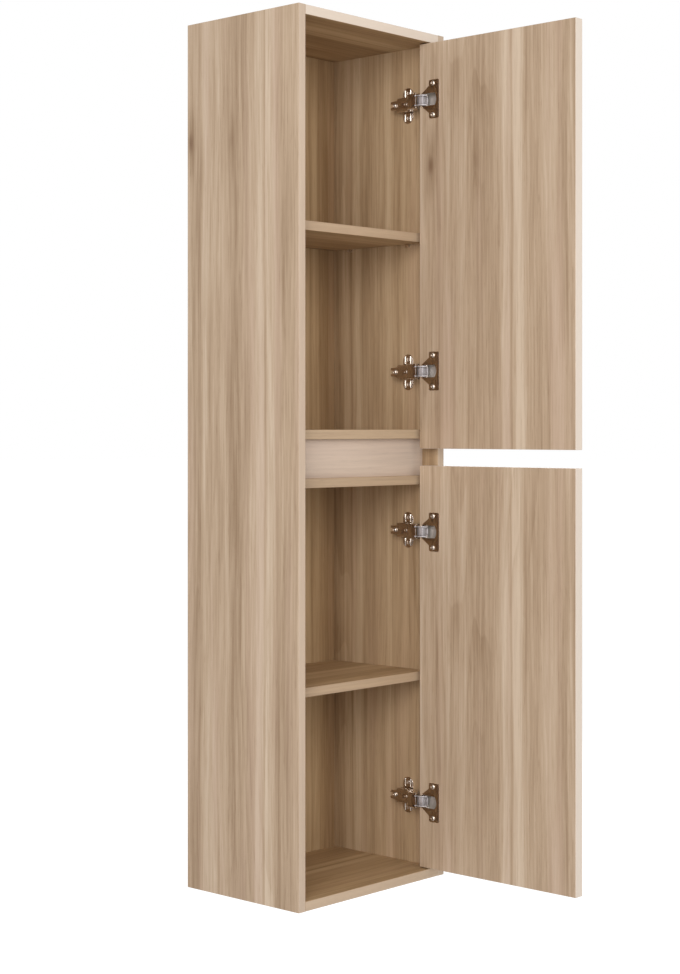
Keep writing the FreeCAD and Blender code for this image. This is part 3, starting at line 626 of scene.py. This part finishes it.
FLANGE = 1.2                # thickness of the cup's flange
CUP_Y = -252.9              # middle of the cup
CUP_NOSE_Y = CUP_Y + 18.4
CUP_SCREW_Y = -260.9
CUP_SCREW_Z = 26.0
CUP_SCREW_HOLE = 1.9
EAR_REACH = 32.0            # from the cup's middle to an ear's end
NOSE_HALF = 22.5
CUP_SHELL = 17.4            # radius of the cup's outside
CUP_HOLLOW = 16.5           # and of its inside
MOUTH_RADIUS = 16.1         # the mouth's round ends, and half the gap between its straight sides
MOUTH_HALF = 10.2

# Each screw's head (radius, rise, dome), shank (radius, length), recess (depth, half its reach,
# half its gap) and how many slots the recess has.
SCREWS = {"plate": ((3.9, 0.9, 0.5), (1.75, 13.0), (0.8, 2.3, 0.5), 2),
          "clamp": ((3.9, 2.4, 1.7), (2.0, 9.0), (1.5, 2.3, 0.55), 2),
          "adjusting": ((2.85, 0.6, 0.45), (2.6, 4.4), (0.45, 2.2, 0.5), 1),
          "cup": ((4.1, 1.8, 1.3), (1.75, 13.0), (1.15, 2.3, 0.5), 2)}


def hinge_heights():
    """Height of every hinge's middle, from its cup in the frame."""
    return {hinge: node_centre(f"{hinge}_cup")[2] / MM for hinge in HINGES}


def leaf_of(hinge):
    """upper or lower: the door that the hinge carries."""
    return hinge.split("_")[0]


def pressed_ridge(side, shift):
    """Upright rib beside the screw of the wing above (1) or below (-1) the arm."""
    sizes = hinge_sizes()
    thick = sizes.ridge_thickness / MM
    middle = (INNER_FACE - PLATE, WING_Y + shift, side * (WING_SCREW_Z - 1.0))
    rib = rod("wing_rib", "Z", middle, thick, sizes.ridge_length / MM, 24)
    return ease_edges(rib, thick * 0.85, 5, lambda place, edge: not lies_along(edge, "Z"))


def wing_slot(side):
    """Upright slot that the wing's screw goes through."""
    height = side * WING_SCREW_Z
    across, up = SLOT_HALF
    slot = block("wing_slot", (INNER_FACE - 5, WING_Y - across, height - up),
                 (INNER_FACE + 1, WING_Y + across, height + up))
    return ease_edges(slot, 2.5, 6, lambda place, edge: lies_along(edge, "X"))


def mounting_plate():
    """Cross-shaped plate: a round-ended wing each way with two ribs, and the arm's spine."""
    plate = block("plate_master", (INNER_FACE - PLATE, WING_Y - WING_HALF, -WING_REACH),
                  (INNER_FACE, WING_Y + WING_HALF, WING_REACH))
    ease_edges(plate, 10.9, 16, lambda place, edge: lies_along(edge, "X"))
    ease_edges(plate, 0.6, 3, lambda place, edge: place.x < INNER_FACE - 1.9)
    for side in (-1, 1):
        weld(plate, *(pressed_ridge(side, shift) for shift in (-RIB_SHIFT, RIB_SHIFT)))
        carve(plate, wing_slot(side))
    spine = block("spine", (WEB_X + SHEET, SPINE_ENDS[0], -SPINE_HALF),
                  (INNER_FACE - 1.0, SPINE_ENDS[1], SPINE_HALF))
    ease_edges(spine, 1.0, 3, lambda place, edge: place.x < WEB_X + 2 or lies_along(edge, "X"))
    weld(plate, spine)
    carve(plate, rod("clamp_hole", "X", (WEB_X, CLAMP_Y, 0.0), CLAMP_HOLE, 8.0, 24))
    carve(plate, rod("adjuster_bore", "X", (WEB_X, ADJUSTER_Y, 0.0), ADJUSTER_HOLE, 10.0, 32))
    return smooth(plate)


def channel():
    """The arm's cranked channel: one sheet with a rounded fold each side."""
    arm = block("arm_master", (WEB_X, ARM_STATIONS[0][0], -ARM_HALF),
                (SKIRT_X, ARM_STATIONS[-1][0], ARM_HALF))
    edit(arm)
    slice_across(station[0] for station in ARM_STATIONS[1:-1])
    for along, web, skirt, wide in ARM_STATIONS:
        for side in (-1, 1):
            for before, after in ((SKIRT_X, skirt), (WEB_X, web)):
                pick(arm, "verts", lambda place, part: abs(place.y - along) < TOUCH
                     and abs(place.x - before) < TOUCH and place.z * side > 1)
                move(x=after - before, z=side * (wide - ARM_HALF))
    pick(arm, "faces", lambda place, face: face.normal.x > 0.3 or abs(face.normal.y) > 0.9)
    bpy.ops.mesh.delete(type="FACE")
    pick(arm, "edges", lambda place, edge: len(edge.link_faces) == 2
         and edge.calc_face_angle(0.0) > 1.0)
    bpy.ops.mesh.bevel(offset=hinge_sizes().fold_radius, offset_type="OFFSET", segments=5,
                       affect="EDGES")
    bpy.ops.mesh.select_all(action="SELECT")
    bpy.ops.mesh.remove_doubles(threshold=MEND_SPOT * MM)
    leave_edit()
    apply_modifier(arm, "SOLIDIFY", thickness=SHEET * MM, offset=-1.0, use_even_offset=True)
    return arm


def tail():
    """Back end of the web, which tapers to the fork."""
    start, end = TAIL_ENDS
    made = block("tail", (WEB_X, start, -TAIL_HALF), (WEB_X + SHEET, end, TAIL_HALF))
    edit(made)
    for side in (-1, 1):
        pick(made, "verts", lambda place, part: place.y > end - 1 and place.z * side > 1)
        move(z=-side * 0.8)
    leave_edit()
    return ease_edges(made, 1.4, 5, lambda place, edge: lies_along(edge, "X") and place.y > end - 1)


def hinge_arm():
    """Arm with folded skirts, forked tail, its holes, and the slots that free the inner link."""
    arm = weld(channel(), tail())
    fork = block("fork", (WEB_X - 2, FORK_Y, -FORK_HALF), (WEB_X + 4, TAIL_ENDS[1] + 2, FORK_HALF))
    ease_edges(fork, 2.8, 6, lambda place, edge: lies_along(edge, "X") and place.y < FORK_Y + 1)
    carve(arm, fork)
    carve(arm, rod("adjuster_hole", "X", (WEB_X, ADJUSTER_Y, 0.0), ADJUSTER_HOLE, 8.0, 32))
    for side in (-1, 1):
        middle = side * LINK_SLOT_Z
        carve(arm, block("link_slot", (NOSE_X - 2, -236.0, middle - LINK_SLOT_HALF),
                         (NOSE_X + 4, -224.5, middle + LINK_SLOT_HALF)))
    for x, y in (OUTER_RIVET, INNER_RIVET):
        carve(arm, rod("rivet_hole", "Z", (x, y, 0.0), RIVET_HOLE, 40.0, 24))
    return soften(arm, hinge_sizes().sheet_ease)


def rivet(x, y):
    """Pin through both skirts with a low domed head each end."""
    pin = rod("rivet_pin", "Z", (x, y, 0.0), RIVET, 24.8, 32)
    for side in (-1, 1):
        head = rod("rivet_head", "Z", (x, y, side * 12.5), *RIVET_HEAD, 32)
        ease_edges(head, 0.45, 3,
                   lambda place, edge: abs(place.z) > 12.7 and not lies_along(edge, "Z"))
        weld(pin, head)
    return smooth(pin, 40.0)


def ear_plate():
    """Flange on the door: two screw ears that narrow to the cup's nose."""
    face = DOOR_FACE - FLANGE
    shoulder = CUP_Y - 0.5
    ears = block("cup_master", (face, CUP_Y - 22.0, -EAR_REACH), (DOOR_FACE, shoulder, EAR_REACH))
    ease_edges(ears, 3.0, 6, lambda place, edge: lies_along(edge, "X"))
    nose = block("nose", (face, CUP_Y - 10.0, -NOSE_HALF), (DOOR_FACE, CUP_NOSE_Y, NOSE_HALF))
    edit(nose)
    slice_across((shoulder,))
    for side in (-1, 1):
        pick(nose, "verts", lambda place, part: place.y > CUP_Y + 18 and place.z * side > 1)
        move(z=-side * 14.0)
    leave_edit()
    ease_edges(nose, 1.5, 5, lambda place, edge: lies_along(edge, "X") and place.y > CUP_Y + 18)
    return weld(ears, nose)


def bowl(name, radius, top, depth, bend):
    """Round bowl whose rim is at top, with a rounded bottom edge."""
    made = rod(name, "X", (top + depth / 2, CUP_Y, 0.0), radius, depth, 96)
    return ease_edges(made, bend, 6, lambda place, edge: place.x > top + depth - 0.1
                      and not lies_along(edge, "X"))


def hinge_cup():
    """Cup with a rounded bottom under the flange, and a straight-sided mouth."""
    cup = weld(ear_plate(), bowl("cup_shell", CUP_SHELL, DOOR_FACE - 0.6, 12.6, 3.0))
    carve(cup, bowl("cup_hollow", CUP_HOLLOW, DOOR_FACE, 11.1, 2.2))
    mouth = block("mouth", (DOOR_FACE - 3, CUP_Y - 16.6, -MOUTH_HALF),
                  (DOOR_FACE + 0.4, CUP_Y + 16.6, MOUTH_HALF))
    ends = rod("mouth_ends", "X", (DOOR_FACE, CUP_Y, 0.0), MOUTH_RADIUS, 10.0, 96)
    carve(cup, carve(mouth, ends, "INTERSECT"))
    for side in (-1, 1):
        spot = (DOOR_FACE, CUP_SCREW_Y, side * CUP_SCREW_Z)
        carve(cup, rod("screw_hole", "X", spot, CUP_SCREW_HOLE, 8.0, 24))
    soften(cup, hinge_sizes().sheet_ease)
    coat(cup, bpy.data.materials["bright_nickel"], bpy.data.materials["satin_cup"])
    edit(cup)
    pick(cup, "faces", lambda place, face: place.x > DOOR_FACE + TOUCH
         and math.hypot(place.y - CUP_Y, place.z) < CUP_HOLLOW + 0.4)
    cup.active_material_index = 1
    bpy.ops.object.material_slot_assign()
    leave_edit()
    return cup


def pan_screw(kind, x, y):
    """Screw along X, at height 0, whose domed head stands on its spot."""
    head, shank, recess, slots = SCREWS[kind]
    radius, rise, dome = head
    depth, reach, half_gap = recess
    top = x - rise
    screw = rod(f"{kind}_screw", "X", (x - rise / 2, y, 0.0), radius, rise, 40)
    ease_edges(screw, dome, 5,
               lambda place, edge: place.x < top + 0.1 and not lies_along(edge, "X"))
    for along, up in ((reach, half_gap), (half_gap, reach))[:slots]:
        carve(screw, block("recess", (top - 1, y - along, -up), (top + depth, y + along, up)))
    weld(screw, rod("shank", "X", (x + shank[1] / 2 - 0.1, y, 0.0), *shank, 24))
    return smooth(screw, 40.0)


def softened_link(node, name):
    """Copy of a link's solid with merged triangles and with edges rounded as tumbled steel is."""
    activate(NODES[node])
    bpy.ops.object.duplicate(linked=False)
    made = bpy.context.object
    made.name = name
    return soften(made, hinge_sizes().sheet_ease * 0.7, 50.0)


def at_each_hinge(master, part, node_part, body, base=0.0):
    """A copy of the master at each hinge; LEAF in a body's name becomes upper or lower."""
    for hinge, height in hinge_heights().items():
        piece = copied(master, f"{hinge}_{part}", z=height - base)
        stands_for(piece, f"{hinge}_{node_part}", body.replace("LEAF", leaf_of(hinge)))
    drop(master)


def set_out(master, piece_name, heights):
    """Copies of a master, one at each height, kept as one piece."""
    pieces = [copied(master, f"{piece_name}_{number}", z=height)
              for number, height in enumerate(heights)]
    drop(master)
    return joined(piece_name, pieces)


# ---------------------------------------------------------------- operators

# The same decor sheet is repeated. Its knot falls here across Y and along Z, in metres.
SIDE_KNOT = (-0.008, -0.132)
DOOR_KNOT = (-0.2565, -0.160)
SHEET_KNOTS = ((0.0, 0.0, 1.0), (-0.095, -0.003, 0.55))     # and how dark each of its knots is

# Where on the decor the other boards lie: any place that shows neither knot.
RIGHT_SIDE_OFFSET = (0.9, 0.21, 1.7)
RECESS_OFFSET = (0.3, 1.7, 0.5)
BACK_OFFSET = (0.05, 0.3, 0.6)
LOWER_DOOR_OFFSET = (0.0, -DOOR_KNOT[0], 1.05)
DOWEL_OFFSET = (5.0, 1.0, 1.0)

# Painted shade: the print made darker and warmer on the boards deep inside and on the right side,
# standing in for the shade and warm bounce light inside the cabinet.
DEEP_PAINTED_SHADE = (0.875, 0.790, 0.610)
WALL_PAINTED_SHADE = (0.965, 0.925, 0.81)

# How much of its own colour an edge band shows over the print.
# The top panel's front edge: partly its edge band, partly painted light from above, so paler than
# the bottom's.
TOP_BAND_PAINTED_LIGHT = 0.85
BOTTOM_BAND = 0.6
SHELF_BAND = 0.4
# On the recess panel's front face: how much paler colour and painted glare reflection show over the
# print.
RECESS_PALE_AND_GLARE_SHARE = 0.45
DOOR_BAND = 0.92


def sheet_offset(knot):
    """Shift of the decor that brings its knot to the given place across Y and along Z."""
    return (0.0, -knot[0], -knot[1])


class CABINET_OT_carcase(bpy.types.Operator):
    """Print the carcase boards: upright grain on the sides and back, level grain on the rest."""

    bl_idname = "cabinet.carcase"
    bl_label = "Finish Carcase"

    def execute(self, context):
        look = finish()
        edge = look.board_edge
        dress(["left_side_panel"], wood_print("left_side_print", "Z", sheet_offset(SIDE_KNOT),
                                              "Y", edge, knots=SHEET_KNOTS))
        # The right side gets a painted shade tint for its inner wall inside the cabinet.
        dress(["right_side_panel"], wood_print("right_side_print", "Z", RIGHT_SIDE_OFFSET,
                                               "Y", edge, warmth=WALL_PAINTED_SHADE))
        # The top's front edge gets the pale door band at a high share: painted light from above as
        # well as its band.
        bands = {"top_panel": (look.door_edge, TOP_BAND_PAINTED_LIGHT), "bottom_panel": (edge, BOTTOM_BAND)}
        for number, name in enumerate(LEVEL_BOARDS):
            colour, share = bands.get(name, (look.shelf_edge, SHELF_BAND))
            offset = (0.4 * number, 0.9 * number, 0.1 * number)
            # Painted shade: the inside faces of these boards are tinted darker and warmer.
            dress([name], wood_print(f"{name}_print", "X", offset, "Y", colour, share,
                                     warmth=DEEP_PAINTED_SHADE))
        # The recess panel's front face: a paler colour with a painted glare reflection.
        dress(["finger_recess_panel"], wood_print("recess_print", "X", RECESS_OFFSET,
                                                  "Y", look.recess_pale_and_glare, RECESS_PALE_AND_GLARE_SHARE))
        # Painted shade: the back is tinted darker and warmer.
        dress(["back_panel"], wood_print("back_print", "Z", BACK_OFFSET, across="X",
                                         warmth=DEEP_PAINTED_SHADE))
        return {"FINISHED"}


class CABINET_OT_shelves(bpy.types.Operator):
    """Print the loose shelves with a level grain and a paler front edge."""

    bl_idname = "cabinet.shelves"
    bl_label = "Finish Shelves"

    def execute(self, context):
        for number, name in enumerate(LOOSE_SHELVES):
            offset = (2.4 + number, 0.6 * number, 0.8)
            # Painted shade: the shelves are tinted darker and warmer.
            dress([name], wood_print(f"{name}_print", "X", offset, "Y", finish().shelf_edge,
                                     SHELF_BAND, warmth=DEEP_PAINTED_SHADE))
        return {"FINISHED"}


class CABINET_OT_doors(bpy.types.Operator):
    """Print the doors with an upright grain and cream edge bands."""

    bl_idname = "cabinet.doors"
    bl_label = "Finish Doors"

    def execute(self, context):
        edge = finish().door_edge
        dress(["upper_door"], wood_print("upper_door_print", "Z", sheet_offset(DOOR_KNOT),
                                         "YZ", edge, DOOR_BAND, knots=SHEET_KNOTS))
        dress(["lower_door"], wood_print("lower_door_print", "Z", LOWER_DOOR_OFFSET,
                                         "YZ", edge, DOOR_BAND))
        return {"FINISHED"}


class CABINET_OT_plates(bpy.types.Operator):
    """Model the hinges' mounting plates on the right side."""

    bl_idname = "cabinet.plates"
    bl_label = "Model Hinge Plates"

    def execute(self, context):
        master = mounting_plate()
        coat(master, plated("bright_nickel", finish().nickel, 0.17))
        at_each_hinge(master, "mounting_plate", "plate", "carcase")
        return {"FINISHED"}


class CABINET_OT_arms(bpy.types.Operator):
    """Model the hinges' cranked arms and their rivets."""

    bl_idname = "cabinet.arms"
    bl_label = "Model Hinge Arms"

    def execute(self, context):
        master = hinge_arm()
        coat(master, bpy.data.materials["bright_nickel"])
        at_each_hinge(master, "cranked_arm", "arm", "carcase")
        pair = joined("rivet_pair", [rivet(*OUTER_RIVET), rivet(*INNER_RIVET)])
        rivets = set_out(pair, "arm_rivets", hinge_heights().values())
        # Painted shade: the rivets are dark for the shade under the arm.
        coat(rivets, plated("dark_rivet", finish().painted_shade_pin, 0.34))
        stands_for(rivets, "hinge_arm_rivets", "carcase")
        return {"FINISHED"}


class CABINET_OT_cups(bpy.types.Operator):
    """Model the hinges' cups with their screw flanges on the doors."""

    bl_idname = "cabinet.cups"
    bl_label = "Model Hinge Cups"

    def execute(self, context):
        plated("satin_cup", finish().bowl_satin, 0.46)
        at_each_hinge(hinge_cup(), "flanged_cup", "cup", "LEAF_door")
        return {"FINISHED"}


class CABINET_OT_links(bpy.types.Operator):
    """Round the edges of the links that join each arm to its cup."""

    bl_idname = "cabinet.links"
    bl_label = "Model Hinge Links"

    def execute(self, context):
        satin = plated("satin_link", finish().link_satin, 0.58)
        first = HINGES[0]
        for link in ("outer_link", "inner_link"):
            master = softened_link(f"{first}_{link}", f"{link}_master")
            coat(master, satin)
            at_each_hinge(master, f"{link}_strap", link, f"LEAF_{link}s",
                          hinge_heights()[first])
        return {"FINISHED"}


class CABINET_OT_screws(bpy.types.Operator):
    """Model the hinges' domed screws with their recesses."""

    bl_idname = "cabinet.screws"
    bl_label = "Model Hinge Screws"

    def execute(self, context):
        zinc = plated("bright_zinc", finish().screw_zinc, 0.27)
        middles = hinge_heights()
        one_each = list(middles.values())
        wings = [height + side * WING_SCREW_Z for height in one_each for side in (-1, 1)]
        groups = [("plate", (INNER_FACE - PLATE, WING_Y), "plate_screws", wings,
                   "hinge_plate_screws", "carcase"),
                  ("clamp", (WEB_X, CLAMP_Y), "clamp_screws", one_each,
                   "hinge_clamp_screws", "carcase"),
                  ("adjusting", (WEB_X, ADJUSTER_Y), "adjusting_screws", one_each,
                   "hinge_adjusting_screws", "carcase")]
        for leaf in LEAVES:
            ears = [height + side * CUP_SCREW_Z for hinge, height in middles.items()
                    for side in (-1, 1) if leaf_of(hinge) == leaf]
            groups.append(("cup", (DOOR_FACE - FLANGE, CUP_SCREW_Y), f"{leaf}_flange_screws", ears,
                           f"{leaf}_cup_screws", f"{leaf}_door"))
        for kind, spot, piece, heights, node, body in groups:
            group = set_out(pan_screw(kind, *spot), piece, heights)
            coat(group, zinc)
            stands_for(group, node, body)
        return {"FINISHED"}


class CABINET_OT_fixings(bpy.types.Operator):
    """Zinc the cup pins, shelf pins, rails and rail screws, and leave the dowels as raw wood."""

    bl_idname = "cabinet.fixings"
    bl_label = "Finish Fixings"

    def execute(self, context):
        dress(("upper_cup_pins", "lower_cup_pins", "hanging_rail_screws", "upper_shelf_pins",
               "lower_shelf_pins"), bpy.data.materials["bright_zinc"])
        rail = plated("galvanised_rail", finish().bare_steel, 0.42, 0.15)
        dress(("wall_rail", "hanging_rail"), rail)
        dress(["carcase_dowels"], wood_print("dowel_wood", "X", DOWEL_OFFSET))
        return {"FINISHED"}


FILM_WIDTH = 36.0           # millimetres
FLOOR_SIZE = 90.0
FLOOR_GLOW = 0.86           # the floor's own light, as the camera sees it
LAMP_AIM = (0.0, -0.15, -0.60)
# Each lamp's place, the side of its square, and its power in watts.
LAMPS = {"left_window": ((-2.9, -2.2, 0.25), 2.2, 90.0),
         "front_fill": ((0.4, -3.4, 0.4), 2.0, 28.0),
         "right_back_fill": ((2.6, 1.2, 0.4), 2.0, 30.0)}


class CABINET_OT_stage(bpy.types.Operator):
    """Set the camera, the soft lamps, the white surroundings and the floor."""

    bl_idname = "cabinet.stage"
    bl_label = "Set Stage"

    def execute(self, context):
        stage = context.scene.cabinet_stage
        self.place_camera(context, stage)
        self.lay_floor(stage)
        self.light_room(context)
        for name, (spot, size, power) in LAMPS.items():
            lamp(name, spot, size, power)
        context.scene.view_settings.view_transform = "Standard"
        return {"FINISHED"}

    def place_camera(self, context, stage):
        spot = (stage.camera_distance_x, stage.camera_distance_y, stage.camera_height)
        bpy.ops.object.camera_add(location=spot, rotation=(math.pi / 2, 0.0, -stage.camera_turn))
        camera = context.object
        camera.name = "photo_camera"
        camera.data.lens = stage.camera_lens
        camera.data.sensor_width = FILM_WIDTH
        camera.data.shift_y = stage.camera_shift
        camera.data.clip_end = 60.0
        context.scene.camera = camera

    def lay_floor(self, stage):
        bottom = cad_bounds[0][2] - stage.floor_drop
        bpy.ops.mesh.primitive_plane_add(size=FLOOR_SIZE, location=(0.0, 0.0, bottom))
        floor = bpy.context.object
        floor.name = "pale_floor"
        bpy.ops.object.transform_apply(location=True, rotation=True, scale=True)
        floor.data.materials.append(white_floor())

    def light_room(self, context):
        """White to the camera and in reflections, and a softer white that lights the object."""
        world = bpy.data.worlds.new("white_room")
        context.scene.world = world
        world.use_nodes = True
        tree = world.node_tree
        backdrop = tree.nodes["Background"]
        backdrop.inputs["Color"].default_value = (1.0, 1.0, 1.0, 1.0)
        rays = tree.nodes.new("ShaderNodeLightPath")
        seen = rays.outputs["Is Camera Ray"]
        for kind in ("Is Glossy Ray", "Is Transmission Ray"):
            either = tree.nodes.new("ShaderNodeMath")
            either.operation = "MAXIMUM"
            tree.links.new(seen, either.inputs[0])
            tree.links.new(rays.outputs[kind], either.inputs[1])
            seen = either.outputs[0]
        strength = tree.nodes.new("ShaderNodeMapRange")
        strength.inputs["To Min"].default_value = context.scene.cabinet_stage.room_light
        strength.inputs["To Max"].default_value = 1.0
        tree.links.new(seen, strength.inputs["Value"])
        tree.links.new(strength.outputs[0], backdrop.inputs["Strength"])

def white_floor():
    """Nearly white to the camera but for the soft shadow, and matte and pale to all other rays."""
    shading = Shading("pale_floor")
    surface = shading.surface
    surface.inputs["Base Color"].default_value = (0.80, 0.80, 0.80, 1.0)
    surface.inputs["Roughness"].default_value = 0.8
    surface.inputs["Specular IOR Level"].default_value = 0.0
    rays = shading.add("ShaderNodeLightPath")
    glow = shading.add("ShaderNodeEmission", {"Color": (1.0, 1.0, 1.0, 1.0),
                                              "Strength": FLOOR_GLOW})
    catcher = shading.add("ShaderNodeBsdfDiffuse", {"Color": (0.36, 0.36, 0.36, 1.0)})
    seen = shading.add("ShaderNodeAddShader", {0: glow.outputs[0], 1: catcher.outputs[0]})
    both = shading.add("ShaderNodeMixShader", {0: rays.outputs["Is Camera Ray"],
                                               1: surface.outputs[0], 2: seen.outputs[0]})
    output = next(one for one in shading.tree.nodes if one.type == "OUTPUT_MATERIAL")
    shading.put(output.inputs["Surface"], both.outputs[0])
    return shading.material


def lamp(name, spot, size, power):
    """A square soft lamp that looks at the cabinet."""
    turn = (Vector(LAMP_AIM) - Vector(spot)).to_track_quat("-Z", "Y").to_euler()
    bpy.ops.object.light_add(type="AREA", location=spot, rotation=turn)
    made = bpy.context.object
    made.name = name
    made.data.size = size
    made.data.energy = power


STEPS = (CABINET_OT_carcase, CABINET_OT_shelves, CABINET_OT_doors, CABINET_OT_plates,
         CABINET_OT_arms, CABINET_OT_cups, CABINET_OT_links, CABINET_OT_screws,
         CABINET_OT_fixings, CABINET_OT_stage)


class CABINET_PT_panel(bpy.types.Panel):
    """The cabinet's steps and settings in the sidebar."""

    bl_label = "Tall Bathroom Cabinet"
    bl_idname = "CABINET_PT_panel"
    bl_space_type = "VIEW_3D"
    bl_region_type = "UI"
    bl_category = "Cabinet"

    def draw(self, context):
        for step in STEPS:
            self.layout.operator(step.bl_idname)
        for group in (finish(), hinge_sizes(), context.scene.cabinet_stage):
            for key in group.bl_rna.properties.keys():
                if key not in ("rna_type", "name"):
                    self.layout.prop(group, key)


CLASSES = (CabinetFinish, HingeSizes, CabinetStage, *STEPS, CABINET_PT_panel)


def register():
    for one in CLASSES:
        bpy.utils.register_class(one)
    bpy.types.Scene.cabinet_finish = PointerProperty(type=CabinetFinish)
    bpy.types.Scene.hinge_sizes = PointerProperty(type=HingeSizes)
    bpy.types.Scene.cabinet_stage = PointerProperty(type=CabinetStage)


def unregister():
    del bpy.types.Scene.cabinet_stage
    del bpy.types.Scene.hinge_sizes
    del bpy.types.Scene.cabinet_finish
    for one in reversed(CLASSES):
        bpy.utils.unregister_class(one)


def main():
    register()
    bpy.ops.object.select_all(action="DESELECT")
    for step in STEPS:
        group, action = step.bl_idname.split(".")
        getattr(getattr(bpy.ops, group), action)()


if __name__ == "__main__":
    main()
